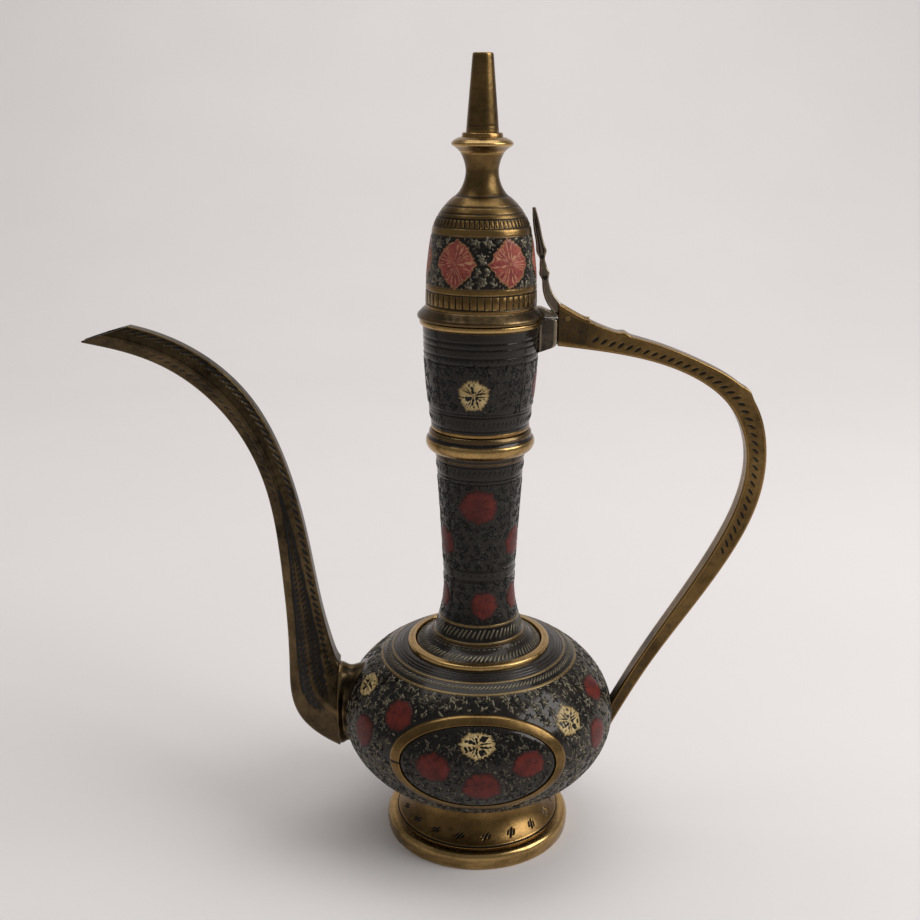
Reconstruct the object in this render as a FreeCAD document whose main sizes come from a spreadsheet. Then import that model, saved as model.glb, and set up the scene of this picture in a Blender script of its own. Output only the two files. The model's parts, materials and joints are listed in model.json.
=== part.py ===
import FreeCAD
import Part
import math
import os
import Sketcher

# Spouted brass ewer with a hinged domed lid. Millimetres, +Z up, origin at the centre of the foot's
# underside, spout towards -X, handle and lid hinge towards +X.

# Driving dimensions, one cell of the sheet each.
SIZES = {
    # Foot: a heavy rest band with a flared pedestal on it.
    "foot_radius": 35.4,
    "foot_band_height": 6.6,
    "foot_band_wall": 5.0,
    "foot_round": 2.4,
    "foot_step": 3.4,
    "pedestal_height": 13.0,
    "pedestal_wall": 4.0,
    "pedestal_hollow": 2.0,
    "seat_radius": 24.5,
    # Globe of the body, an oblate spheroid cut flat at its seat and at its shoulder, with a round mouth.
    "globe_radius": 51.4,
    "globe_half_height": 33.9,
    "globe_wall": 1.6,
    "shoulder_radius": 29.0,
    "globe_mouth_radius": 20.0,
    # Gap left for solder under curved seats, and in sockets that are soldered.
    "solder_gap": 0.1,
    # Oval medallions on the front and the back.
    "medallion_half_width": 31.5,
    "medallion_half_height": 18.3,
    "medallion_rise": 1.1,
    "frame_strip_width": 4.0,
    "frame_strip_raise": 1.3,
    "panel_raise": 0.6,
    # Shoulder ring and collar, neck, bead and cup, stacked on the globe.
    "shoulder_ring_height": 1.9,
    "shoulder_ring_width": 3.4,
    "shoulder_ring_inset": 2.1,
    "shoulder_collar_height": 5.1,
    "shoulder_collar_lip": 1.2,
    "shoulder_collar_hollow": 0.5,
    "neck_base_radius": 17.3,
    "neck_waist_radius": 13.1,
    "neck_top_radius": 16.1,
    "neck_flare_height": 18.5,
    "neck_flare_hollow": 0.95,
    "neck_height": 69.0,
    "neck_hollow": 0.25,
    "neck_wall": 1.6,
    "bead_height": 10.0,
    "bead_radius": 19.85,
    "bead_lip": 0.5,
    "cup_height": 38.0,
    "cup_base_radius": 17.4,
    "cup_top_radius": 20.6,
    "cup_swell": 0.7,
    "cup_wall": 1.5,
    "rim_height": 2.0,
    "rim_overhang": 1.1,
    # Lid: flange, plug sleeve, dome and the finial screwed through its top.
    "lid_seat_gap": 0.3,
    "flange_radius": 22.5,
    "flange_edge": 1.1,
    "flange_height": 3.9,
    "lid_base_radius": 19.7,
    "lid_wall": 1.5,
    "lid_wall_height": 27.5,
    "lid_wall_swell": 0.6,
    "lid_shoulder_radius": 16.9,
    "lid_shoulder_height": 10.8,
    "lid_shoulder_swell": 1.4,
    "lid_roof": 2.2,
    "throat_radius": 8.6,
    "throat_hollow": 0.8,
    "waist_radius": 5.66,
    "waist_height": 8.0,
    "waist_hollow": 0.4,
    "waist_top_radius": 7.6,
    "waist_top_height": 6.0,
    "flange_lip": 0.3,
    "socket_depth": 2.0,
    "sleeve_clearance": 1.0,
    "sleeve_drop": 5.0,
    "sleeve_wall": 1.2,
    "finial_collar_radius": 10.75,
    "finial_collar_height": 4.8,
    "finial_washer_radius": 7.1,
    "finial_washer_height": 1.6,
    "spike_base_radius": 5.62,
    "spike_tip_radius": 3.5,
    "spike_height": 25.6,
    "spike_edge": 0.5,
    "stud_radius": 1.6,
    "stud_clearance": 0.05,
    "stud_engagement": 8.0,
    "stud_tail": 1.5,
    "nut_half_width": 3.6,
    "nut_height": 3.0,
    # Hinge: pin through the forked end of the handle, and the lid's lever on it.
    "hinge_reach": 7.8,
    "hinge_rise": 0.5,
    "hinge_inset": 3.2,
    "pin_radius": 0.9,
    "pin_head": 0.5,
    "pin_fit": 0.02,
    "pin_running_clearance": 0.06,
    "lever_thickness": 2.4,
    "lever_side_clearance": 0.3,
    "lever_seat_gap": 0.1,
    "knuckle_radius": 2.4,
    "tab_height": 2.1,
    "stem_lean": 5.8,
    "stem_rise": 6.6,
    "stem_width": 4.2,
    "knot_lean": 8.0,
    "knot_rise": 15.0,
    "knot_width": 3.4,
    "thumb_lean": 11.8,
    "thumb_rise": 38.3,
    "thumb_swell": 0.7,
    # Lug that carries the handle on the cup.
    "lug_depth": 11.3,
    "lug_breadth": 8.0,
    "lug_chamfer": 3.4,
    "lug_rim_gap": 0.15,
    # Handle: stations along its bow, upper ones measured from the hinge pin, lower from the globe.
    "handle_thickness": 7.0,
    "slot_reach": 6.5,
    "slot_depth": 3.4,
    "handle_root_drop": 2.5,
    "handle_root_width": 15.0,
    "handle_throat_out": 12.1,
    "handle_throat_drop": 7.5,
    "handle_throat_tilt": -8.0,
    "handle_throat_width": 8.6,
    "handle_crown_out": 29.0,
    "handle_crown_drop": 11.6,
    "handle_crown_tilt": -17.0,
    "handle_crown_width": 6.6,
    "handle_shoulder_out": 48.6,
    "handle_shoulder_drop": 19.1,
    "handle_shoulder_tilt": -32.0,
    "handle_shoulder_width": 6.4,
    "handle_bend_out": 62.2,
    "handle_bend_drop": 29.0,
    "handle_bend_tilt": -52.0,
    "handle_bend_width": 8.2,
    "handle_reach_out": 69.6,
    "handle_reach_drop": 48.0,
    "handle_reach_tilt": -82.0,
    "handle_reach_width": 7.3,
    "handle_turn_out": 68.2,
    "handle_turn_drop": 66.0,
    "handle_turn_tilt": -106.0,
    "handle_turn_width": 7.1,
    "handle_fall_out": 60.3,
    "handle_fall_drop": 85.9,
    "handle_fall_tilt": -118.0,
    "handle_fall_width": 6.7,
    "handle_tail_out": 11.9,
    "handle_tail_rise": 21.1,
    "handle_tail_width": 4.8,
    "handle_end_inset": 3.6,
    "handle_end_drop": 8.4,
    "handle_end_width": 4.4,
    "handle_tail_tilt": -118.0,
    # Spout: stations measured outwards from the globe's side and up from its centre.
    "spout_wall": 1.4,
    "spout_edge_share": 0.45,
    "spout_hole_radius": 7.0,
    "spout_collar_lip": 0.6,
    "spout_root_out": 2.1,
    "spout_root_rise": 1.1,
    "spout_root_depth": 33.0,
    "spout_root_breadth": 20.0,
    "spout_heel_out": 9.65,
    "spout_heel_rise": 8.35,
    "spout_heel_tilt": 147.6,
    "spout_heel_depth": 27.8,
    "spout_heel_breadth": 18.0,
    "spout_knee_out": 12.7,
    "spout_knee_rise": 21.85,
    "spout_knee_tilt": 123.0,
    "spout_knee_depth": 19.3,
    "spout_knee_breadth": 15.0,
    "spout_shank_out": 15.8,
    "spout_shank_rise": 50.9,
    "spout_shank_tilt": 94.0,
    "spout_shank_depth": 12.3,
    "spout_shank_breadth": 11.0,
    "spout_stalk_out": 18.35,
    "spout_stalk_rise": 71.1,
    "spout_stalk_tilt": 98.0,
    "spout_stalk_depth": 10.7,
    "spout_stalk_breadth": 10.2,
    "spout_bend_out": 23.3,
    "spout_bend_rise": 93.5,
    "spout_bend_tilt": 106.0,
    "spout_bend_depth": 9.8,
    "spout_bend_breadth": 9.4,
    "spout_crest_out": 37.95,
    "spout_crest_rise": 121.75,
    "spout_crest_tilt": 127.6,
    "spout_crest_depth": 11.0,
    "spout_crest_breadth": 9.4,
    "spout_throat_out": 59.35,
    "spout_throat_rise": 138.45,
    "spout_throat_tilt": 154.0,
    "spout_throat_depth": 10.3,
    "spout_throat_breadth": 9.2,
    "spout_mouth_out": 73.5,
    "spout_mouth_rise": 143.5,
    "spout_mouth_tilt": 162.0,
    "spout_mouth_depth": 9.6,
    "spout_mouth_breadth": 9.0,
    "spout_lip_out": 89.1,
    "spout_lip_rise": 146.4,
    "spout_lip_tilt": 171.0,
    "spout_lip_depth": 8.5,
    "spout_lip_breadth": 8.6,
    "spout_lip_thickness": 0.6,
    "spout_mouth_slope": 17.6,
}

SHEET = "Sizes"
FULL_TURN = 360
DIAGONAL = math.sqrt(0.5)


class Size:
    """A number together with the sheet expression that gives it."""

    def __init__(self, value, text):
        self.value = float(value)
        self.text = text

    @staticmethod
    def of(other):
        return other if isinstance(other, Size) else Size(other, repr(float(other)))

    def __add__(self, other):
        other = Size.of(other)
        return Size(self.value + other.value, f"({self.text} + {other.text})")

    def __sub__(self, other):
        other = Size.of(other)
        return Size(self.value - other.value, f"({self.text} - {other.text})")

    def __mul__(self, other):
        other = Size.of(other)
        return Size(self.value * other.value, f"({self.text} * {other.text})")

    def __truediv__(self, other):
        other = Size.of(other)
        return Size(self.value / other.value, f"({self.text} / {other.text})")

    def __neg__(self):
        return Size(-self.value, f"(-1 * {self.text})")

    def root(self):
        return Size(math.sqrt(self.value), f"sqrt({self.text})")


def size(name):
    """The named driving dimension."""
    return Size(SIZES[name], f"{SHEET}.{name}")


def middle(first, second):
    """Half way between two sizes."""
    return (first + second) / 2


ZERO = Size.of(0)


def make_sheet(doc):
    """Writes every driving dimension to a cell with its own alias."""
    sheet = doc.addObject("Spreadsheet::Sheet", SHEET)
    for row, (name, value) in enumerate(SIZES.items(), start=1):
        sheet.set(f"A{row}", name)
        sheet.set(f"B{row}", str(value))
        sheet.setAlias(f"B{row}", name)
    doc.recompute()
    return sheet


def bind(item, **properties):
    """Binds properties of an object to sizes."""
    for name, value in properties.items():
        item.setExpression(name, Size.of(value).text)


def place(item, x=ZERO, y=ZERO, z=ZERO):
    """Binds an object's place to sizes."""
    for axis, value in (("x", x), ("y", y), ("z", z)):
        item.setExpression(f"Placement.Base.{axis}", Size.of(value).text)


def origin_plane(body, role):
    return next(plane for plane in body.Origin.OriginFeatures if plane.Role == role)


def vector(point):
    return FreeCAD.Vector(point[0].value, point[1].value, 0)


def pin_point(sketch, element, end, point):
    """Holds one end of a sketch element at a place given by two sizes."""
    for kind, value in (("DistanceX", point[0]), ("DistanceY", point[1])):
        index = sketch.addConstraint(Sketcher.Constraint(kind, element, end, value.value))
        sketch.setExpression(f"Constraints[{index}]", value.text)


def draw_outline(sketch, outline):
    """Draws a closed outline of corners (x, y) or (x, y, via); a via bends the next side into an arc."""
    corners = [(Size.of(corner[0]), Size.of(corner[1])) for corner in outline]
    vias = [corner[2] if len(corner) > 2 else None for corner in outline]
    ends = []
    for index, via in enumerate(vias):
        start = vector(corners[index])
        finish = vector(corners[(index + 1) % len(corners)])
        if via is None:
            element = sketch.addGeometry(Part.LineSegment(start, finish))
            ends.append((element, 1, 2))
        else:
            bend = vector(via)
            leftward = (bend - start).cross(finish - bend).z > 0
            arc = Part.Arc(start, bend, finish) if leftward else Part.Arc(finish, bend, start)
            element = sketch.addGeometry(arc)
            ends.append((element, 1, 2) if leftward else (element, 2, 1))
    for index, (element, start_end, finish_end) in enumerate(ends):
        following, following_start, _ = ends[(index + 1) % len(ends)]
        sketch.addConstraint(
            Sketcher.Constraint("Coincident", element, finish_end, following, following_start)
        )
        pin_point(sketch, element, start_end, corners[index])
        if vias[index] is not None:
            mark = sketch.addGeometry(Part.Point(vector(vias[index])), True)
            sketch.addConstraint(Sketcher.Constraint("PointOnObject", mark, 1, element))
            pin_point(sketch, mark, 1, vias[index])


def sketch_on(body, role, name):
    sketch = body.newObject("Sketcher::SketchObject", name)
    sketch.AttachmentSupport = [(origin_plane(body, role), "")]
    sketch.MapMode = "FlatFace"
    return sketch


def make_body(doc, label):
    body = doc.addObject("PartDesign::Body", label)
    body.Label = label
    return body


def bowed(start, finish, bow):
    """Middle of an arc that stands off its chord by bow, along the radius."""
    return (middle(start[0], finish[0]) + bow, middle(start[1], finish[1]))


def turned(doc, label, outline, base):
    """A piece turned about the pot's axis from an outline of (radius, height), standing at base."""
    body = make_body(doc, label)
    sketch = sketch_on(body, "XZ_Plane", f"{label}_outline")
    draw_outline(sketch, outline)
    turn = body.newObject("PartDesign::Revolution", f"{label}_turn")
    turn.Profile = sketch
    turn.ReferenceAxis = (sketch, ["V_Axis"])
    turn.Angle = FULL_TURN
    place(body, z=base)
    return body


def padded(body, sketch, thickness):
    """Pads a sketch by the same amount to both sides of its plane."""
    pad = body.newObject("PartDesign::Pad", f"{sketch.Name}_pad")
    pad.Profile = sketch
    pad.SideType = "Symmetric"
    bind(pad, Length=thickness)
    return pad


def boolean(doc, kind, label, base, tool):
    """Part::Cut or Part::Common of two objects."""
    result = doc.addObject(f"Part::{kind}", label)
    result.Base = base
    result.Tool = tool
    result.Label = label
    return result


def spheroid(doc, name, growth):
    """The globe's own spheroid, grown by an amount all round."""
    shape = doc.addObject("Part::Ellipsoid", name)
    bind(
        shape,
        Radius1=size("globe_half_height") + growth,
        Radius2=size("globe_radius") + growth,
        Radius3=size("globe_radius") + growth,
    )
    place(shape, z=globe_centre())
    return shape


def cylinder(doc, name, radius, height):
    shape = doc.addObject("Part::Cylinder", name)
    bind(shape, Radius=radius, Height=height)
    return shape


def turn_to(item, axis, angle):
    """Turns an object about an axis through its own origin."""
    item.Placement = FreeCAD.Placement(FreeCAD.Vector(), FreeCAD.Rotation(axis, angle))


# Heights of the stack, worked out from the driving dimensions.


def height_on_globe(radius):
    """Distance of the globe's circle of this radius above or below its centre."""
    share = size(radius) / size("globe_radius")
    return size("globe_half_height") * (Size.of(1) - share * share).root()


def globe_seat():
    return size("foot_band_height") + size("pedestal_height")


def globe_centre():
    return globe_seat() + height_on_globe("seat_radius")


def shoulder_level():
    return globe_centre() + height_on_globe("shoulder_radius")


def neck_base():
    return shoulder_level() + size("shoulder_collar_height")


def bead_base():
    return neck_base() + size("neck_height")


def cup_base():
    return bead_base() + size("bead_height")


def rim_base():
    return cup_base() + size("cup_height")


def rim_top():
    return rim_base() + size("rim_height")


def flange_base():
    return rim_top() + size("lid_seat_gap")


def dome_base():
    return flange_base() + size("flange_height")


def dome_roof():
    """Height of the dome's inner roof above the dome's lower edge."""
    return size("lid_wall_height") + size("lid_shoulder_height") - size("lid_roof")


def dome_height():
    return (
        size("lid_wall_height")
        + size("lid_shoulder_height")
        + size("waist_height")
        + size("waist_top_height")
    )


def finial_base():
    return dome_base() + dome_height()


def washer_base():
    return finial_base() + size("finial_collar_height")


def spike_base():
    return washer_base() + size("finial_washer_height")


def hinge_x():
    return size("flange_radius") + size("hinge_reach")


def hinge_z():
    return rim_top() + size("hinge_rise")


def lug_face():
    """Outer face of the lug, where the handle's root butts, just inside the hinge."""
    return hinge_x() - size("hinge_inset")


def sleeve_radius():
    """Outside of the lid's sleeve, which drops into the cup's mouth with clearance."""
    return size("cup_top_radius") - size("cup_wall") - size("sleeve_clearance")


def overall_height():
    """Height of the whole pot, which is also large enough for any cutting block."""
    return (spike_base() + size("spike_height")).value


def stud_hole():
    return size("stud_radius") + size("stud_clearance")


# Pieces of the pot.


def make_foot_band(doc):
    outer = size("foot_radius")
    height = size("foot_band_height")
    rounding = size("foot_round")
    inner = outer - size("foot_band_wall")
    sag = rounding * (1 - DIAGONAL)
    outline = [
        (inner, ZERO),
        (outer, ZERO),
        (outer, height - rounding, (outer - sag, height - sag)),
        (outer - rounding, height),
        (inner, height),
    ]
    return turned(doc, "foot_band", outline, ZERO)


def make_foot_pedestal(doc):
    height = size("pedestal_height")
    wall = size("pedestal_wall")
    low = (size("foot_radius") - size("foot_step"), ZERO)
    high = (size("seat_radius"), height)
    low_inner = (low[0] - wall, ZERO)
    high_inner = (high[0] - wall, height)
    hollow = -size("pedestal_hollow")
    outline = [
        low_inner,
        (*low, bowed(low, high, hollow)),
        high,
        (*high_inner, bowed(high_inner, low_inner, hollow)),
    ]
    return turned(doc, "foot_pedestal", outline, size("foot_band_height"))


def slab_of_globe(doc, name, growth, low, high):
    """The globe's spheroid, grown by an amount and cut flat at two heights."""
    slab = cylinder(doc, f"{name}_slab", size("globe_radius") * 2, high - low)
    place(slab, z=low)
    return boolean(doc, "Common", name, spheroid(doc, f"{name}_spheroid", growth), slab)


def spout_passage(doc, name):
    """Bar along X through the globe's side into the spout."""
    bar = cylinder(doc, name, size("spout_hole_radius"), size("globe_radius"))
    turn_to(bar, FreeCAD.Vector(0, 1, 0), -90)
    place(bar, x=-(size("globe_radius") / 2), z=globe_centre() + size("spout_root_rise"))
    return bar


def make_globe(doc):
    """Hollow globe with a flat roof that carries the shoulder, open to the neck and to the spout."""
    wall = size("globe_wall")
    outside = slab_of_globe(doc, "globe_outside", ZERO, globe_seat(), shoulder_level())
    inside = slab_of_globe(doc, "globe_inside", -wall, globe_seat() + wall, shoulder_level() - wall)
    hollow = boolean(doc, "Cut", "globe_hollow", outside, inside)
    mouth = cylinder(doc, "globe_mouth", size("globe_mouth_radius"), wall * 3)
    place(mouth, z=shoulder_level() - wall * 2)
    open_globe = boolean(doc, "Cut", "globe_open", hollow, mouth)
    return boolean(doc, "Cut", "globe_shell", open_globe, spout_passage(doc, "globe_spout_hole"))


def oval_bar(doc, name, half_width, half_height, side):
    """Oval bar along Y from the pot's axis through the globe's front (-1) or back (1)."""
    oval = doc.addObject("Part::Ellipse", f"{name}_oval")
    bind(oval, MajorRadius=half_width, MinorRadius=half_height)
    turn_to(oval, FreeCAD.Vector(1, 0, 0), 90)
    place(oval, z=globe_centre() + size("medallion_rise"))
    bar = doc.addObject("Part::Extrusion", name)
    bar.Base = oval
    bar.DirMode = "Custom"
    bar.Dir = FreeCAD.Vector(0, side, 0)
    bar.Solid = True
    bind(bar, LengthFwd=size("globe_radius") * 2)
    return bar


def globe_skin(doc, name, thickness):
    """Skin of a thickness that lies on the globe with a solder gap under it."""
    gap = size("solder_gap")
    outside = spheroid(doc, f"{name}_outside", gap + thickness)
    inside = spheroid(doc, f"{name}_inside", gap)
    return boolean(doc, "Cut", f"{name}_skin", outside, inside)


def make_medallion(doc, side_name, side):
    """Frame strip and inlaid panel of one medallion."""
    half_width = size("medallion_half_width")
    half_height = size("medallion_half_height")
    strip = size("frame_strip_width")
    gap = size("solder_gap")
    frame_name = f"medallion_frame_{side_name}"
    panel_name = f"medallion_panel_{side_name}"
    outer_bar = oval_bar(doc, f"{frame_name}_bar", half_width, half_height, side)
    window = oval_bar(doc, f"{frame_name}_window", half_width - strip, half_height - strip, side)
    ring = boolean(doc, "Cut", f"{frame_name}_ring", outer_bar, window)
    frame_skin = globe_skin(doc, frame_name, size("frame_strip_raise"))
    frame = boolean(doc, "Common", frame_name, frame_skin, ring)
    inlay = oval_bar(doc, f"{panel_name}_bar", half_width - strip - gap, half_height - strip - gap, side)
    panel = boolean(doc, "Common", panel_name, globe_skin(doc, panel_name, size("panel_raise")), inlay)
    return [frame, panel]


def shoulder_ring_inner():
    return size("shoulder_radius") - size("shoulder_ring_inset") - size("shoulder_ring_width")


def make_shoulder_ring(doc):
    inner = shoulder_ring_inner()
    outer = inner + size("shoulder_ring_width")
    height = size("shoulder_ring_height")
    crown = height / 2
    outline = [
        (inner, ZERO),
        (outer - crown, ZERO, (outer, crown)),
        (outer - crown, height),
        (inner, height),
    ]
    return turned(doc, "shoulder_ring", outline, shoulder_level())


def neck_bore():
    return size("neck_waist_radius") - size("neck_wall")


def make_shoulder_collar(doc):
    outer = shoulder_ring_inner() - size("solder_gap")
    height = size("shoulder_collar_height")
    lip = (outer, size("shoulder_collar_lip"))
    top = (size("neck_base_radius") + size("shoulder_collar_hollow"), height)
    outline = [
        (neck_bore(), ZERO),
        (outer, ZERO),
        (*lip, bowed(lip, top, -size("shoulder_collar_hollow"))),
        top,
        (neck_bore(), height),
    ]
    return turned(doc, "shoulder_collar", outline, shoulder_level())


def make_neck(doc):
    wall = size("neck_wall")
    base = (size("neck_base_radius"), ZERO)
    waist = (size("neck_waist_radius"), size("neck_flare_height"))
    top = (size("neck_top_radius"), size("neck_height"))
    waist_inner = (neck_bore(), waist[1])
    top_inner = (top[0] - wall, top[1])
    hollow = -size("neck_hollow")
    outline = [
        (neck_bore(), ZERO),
        (*base, bowed(base, waist, -size("neck_flare_hollow"))),
        (*waist, bowed(waist, top, hollow)),
        top,
        (*top_inner, bowed(top_inner, waist_inner, hollow)),
        waist_inner,
    ]
    return turned(doc, "neck_tube", outline, neck_base())


def make_bead(doc):
    bore = size("neck_top_radius") - size("neck_wall")
    height = size("bead_height")
    low = (size("neck_top_radius") + size("bead_lip"), ZERO)
    high = (size("cup_base_radius") + size("bead_lip"), height)
    outline = [(bore, ZERO), (*low, (size("bead_radius"), height / 2)), high, (bore, height)]
    return turned(doc, "neck_bead", outline, bead_base())


def make_cup(doc):
    wall = size("cup_wall")
    low = (size("cup_base_radius"), ZERO)
    high = (size("cup_top_radius"), size("cup_height"))
    low_inner = (low[0] - wall, ZERO)
    high_inner = (high[0] - wall, high[1])
    swell = size("cup_swell")
    outline = [
        low_inner,
        (*low, bowed(low, high, swell)),
        high,
        (*high_inner, bowed(high_inner, low_inner, swell)),
    ]
    return turned(doc, "cup", outline, cup_base())


def make_mouth_rim(doc):
    inner = size("cup_top_radius") - size("cup_wall")
    outer = size("cup_top_radius") + size("rim_overhang")
    height = size("rim_height")
    crown = height / 2
    outline = [
        (inner, ZERO),
        (outer - crown, ZERO, (outer, crown)),
        (outer - crown, height),
        (inner, height),
    ]
    return turned(doc, "mouth_rim", outline, rim_base())


# Spout: hexagonal sections carried along a swan-neck line.


def in_side_view(x, z, y=0.0):
    return FreeCAD.Vector(x.value if isinstance(x, Size) else x, y, z.value if isinstance(z, Size) else z)


def side_direction(tilt):
    """Unit vector in the side view at an angle in degrees from +X."""
    angle = math.radians(tilt)
    return FreeCAD.Vector(math.cos(angle), 0, math.sin(angle))


SPOUT_STATIONS = ("heel", "knee", "shank", "stalk", "bend", "crest", "throat", "mouth", "lip")
SPOUT_ROOT_TILT = 180.0
ROOT_OVERRUN = 3.0


def spout_station(name):
    """Centre, direction, depth and breadth of the spout at one station."""
    prefix = f"spout_{name}"
    x = -(size("globe_radius") + size(f"{prefix}_out"))
    centre = in_side_view(x, globe_centre() + size(f"{prefix}_rise"))
    tilt = SPOUT_ROOT_TILT if name == "root" else SIZES[f"{prefix}_tilt"]
    return centre, tilt, SIZES[f"{prefix}_depth"], SIZES[f"{prefix}_breadth"]


def spout_section(station, inset):
    """Six-sided section: narrow faces above and below, a ridge along each side."""
    centre, tilt, depth, breadth = spout_station(station)
    across = side_direction(tilt - 90)
    half_depth = depth / 2 - inset
    half_breadth = breadth / 2 - inset
    edge = half_breadth * SIZES["spout_edge_share"]
    side = FreeCAD.Vector(0, 1, 0)
    corners = [
        centre + across * half_depth + side * edge,
        centre + side * half_breadth,
        centre - across * half_depth + side * edge,
        centre - across * half_depth - side * edge,
        centre - side * half_breadth,
        centre + across * half_depth - side * edge,
    ]
    return Part.makePolygon(corners + corners[:1])


def spout_loft(inset):
    """Solid through all sections, started inside the pot so that its root can be faced off."""
    sections = [spout_section(name, inset) for name in ("root",) + SPOUT_STATIONS]
    start = sections[0].copy()
    start.translate(FreeCAD.Vector(ROOT_OVERRUN, 0, 0))
    return Part.makeLoft([start] + sections, True, False)


def mouth_cut():
    """Block above the slanted pouring mouth."""
    centre, tilt, depth, _ = spout_station("lip")
    slope = SIZES["spout_mouth_slope"]
    toe = centre - side_direction(tilt - 90) * (depth / 2 - SIZES["spout_lip_thickness"])
    span = overall_height()
    block = Part.makeBox(span, span, span, FreeCAD.Vector(-span / 2, -span / 2, 0))
    block.rotate(FreeCAD.Vector(), FreeCAD.Vector(0, 1, 0), -slope)
    block.translate(toe)
    return block


def root_cut():
    """Block on the pot's side of the spout's flat root face."""
    span = overall_height()
    corner = spout_station("root")[0] - FreeCAD.Vector(0, span / 2, span / 2)
    return Part.makeBox(span, span, span, corner)


def make_spout(doc):
    """Hollow casting, open at the root and along the slanted mouth."""
    casting = spout_loft(0).cut([mouth_cut(), root_cut()])
    spout = doc.addObject("Part::Feature", "spout")
    spout.Shape = casting.cut(spout_loft(SIZES["spout_wall"]))
    spout.Label = "spout"
    return spout


def make_spout_collar(doc):
    """Oval saddle between the globe's side and the spout's root."""
    lip = size("spout_collar_lip")
    face = size("globe_radius") + size("spout_root_out")
    oval = doc.addObject("Part::Ellipse", "spout_collar_oval")
    bind(
        oval,
        MajorRadius=size("spout_root_depth") / 2 + lip,
        MinorRadius=size("spout_root_breadth") / 2 + lip,
    )
    oval.Placement = FreeCAD.Placement(FreeCAD.Vector(), FreeCAD.Rotation(FreeCAD.Vector(0, 1, 0), -90))
    place(oval, x=-face, z=globe_centre() + size("spout_root_rise"))
    block = doc.addObject("Part::Extrusion", "spout_collar_block")
    block.Base = oval
    block.DirMode = "Custom"
    block.Dir = FreeCAD.Vector(1, 0, 0)
    block.Solid = True
    bind(block, LengthFwd=face / 2)
    saddle = boolean(
        doc, "Cut", "spout_collar_saddle", block, spheroid(doc, "spout_collar_globe", size("solder_gap"))
    )
    return boolean(doc, "Cut", "spout_collar", saddle, spout_passage(doc, "spout_collar_hole"))


# Handle, its lug and the hinge.


def make_lug(doc):
    """Block soldered to the cup under its rim, chamfered below."""
    body = make_body(doc, "handle_lug")
    sketch = sketch_on(body, "XZ_Plane", "handle_lug_outline")
    inner = size("cup_top_radius") + size("solder_gap")
    clear_rim = size("cup_top_radius") + size("rim_overhang") + size("lug_rim_gap")
    outer = lug_face()
    top = size("rim_height")
    under_rim = -size("lug_rim_gap")
    bottom = top - size("lug_depth")
    chamfer = size("lug_chamfer")
    outline = [
        (inner, bottom),
        (outer - chamfer, bottom),
        (outer, bottom + chamfer),
        (outer, top),
        (clear_rim, top),
        (clear_rim, under_rim),
        (inner, under_rim),
    ]
    draw_outline(sketch, outline)
    padded(body, sketch, size("lug_breadth"))
    place(body, z=rim_base())
    return body


HANDLE_STATIONS = ("throat", "crown", "shoulder", "bend", "reach", "turn", "fall")


def handle_line():
    """Centre, direction and width of the handle at each station, from the lug to the globe."""
    stations = [(lug_face(), hinge_z() - size("handle_root_drop"), 0.0, SIZES["handle_root_width"])]
    for name in HANDLE_STATIONS:
        x = hinge_x() + size(f"handle_{name}_out")
        z = hinge_z() - size(f"handle_{name}_drop")
        stations.append((x, z, SIZES[f"handle_{name}_tilt"], SIZES[f"handle_{name}_width"]))
    tail_tilt = SIZES["handle_tail_tilt"]
    tail_x = size("globe_radius") + size("handle_tail_out")
    tail_z = globe_centre() + size("handle_tail_rise")
    stations.append((tail_x, tail_z, tail_tilt, SIZES["handle_tail_width"]))
    end_x = size("globe_radius") - size("handle_end_inset")
    end_z = globe_centre() - size("handle_end_drop")
    stations.append((end_x, end_z, tail_tilt, SIZES["handle_end_width"]))
    return stations


def handle_edge(side):
    """Smooth edge of the handle: 1 is the outer edge, -1 the inner edge."""
    points = []
    for x, z, tilt, width in handle_line():
        points.append(in_side_view(x, z) + side_direction(tilt + 90) * (side * width / 2))
    curve = Part.BSplineCurve()
    curve.interpolate(points)
    return curve


def hinge_bar(radius, length):
    """Bar of a length along the hinge axis, centred on the pot's middle plane."""
    start = in_side_view(hinge_x(), hinge_z(), -length / 2)
    return Part.makeCylinder(radius, length, start, FreeCAD.Vector(0, 1, 0))


def hinge_slot():
    """Slot between the cheeks of the handle's forked end, for the lever."""
    breadth = SIZES["lever_thickness"] + 2 * SIZES["lever_side_clearance"]
    length = hinge_x().value + SIZES["slot_reach"]
    corner = in_side_view(0.0, hinge_z() - size("slot_depth"), -breadth / 2)
    return Part.makeBox(length, breadth, overall_height(), corner)


def make_handle(doc, globe):
    """Flat bow, forked round the lever at the hinge and fitted to the globe below."""
    outer = handle_edge(1)
    inner = handle_edge(-1)
    thickness = SIZES["handle_thickness"]
    edges = [
        outer.toShape(),
        Part.makeLine(outer.EndPoint, inner.EndPoint),
        inner.toShape(),
        Part.makeLine(inner.StartPoint, outer.StartPoint),
    ]
    face = Part.Face(Part.Wire(Part.__sortEdges__(edges)))
    face.translate(FreeCAD.Vector(0, -thickness / 2, 0))
    bow = face.extrude(FreeCAD.Vector(0, thickness, 0))
    pin_hole = hinge_bar(SIZES["pin_radius"] + SIZES["pin_fit"], 2 * thickness)
    handle = doc.addObject("Part::Feature", "handle")
    handle.Shape = bow.cut([hinge_slot(), pin_hole, globe.Shape])
    handle.Label = "handle"
    return handle


def make_hinge_pin(doc):
    length = size("handle_thickness") + size("pin_head") * 2
    pin = cylinder(doc, "hinge_pin", size("pin_radius"), length)
    pin.Label = "hinge_pin"
    turn_to(pin, FreeCAD.Vector(1, 0, 0), -90)
    place(pin, x=hinge_x(), y=-(length / 2), z=hinge_z())
    return pin


# Lid and finial.


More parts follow.
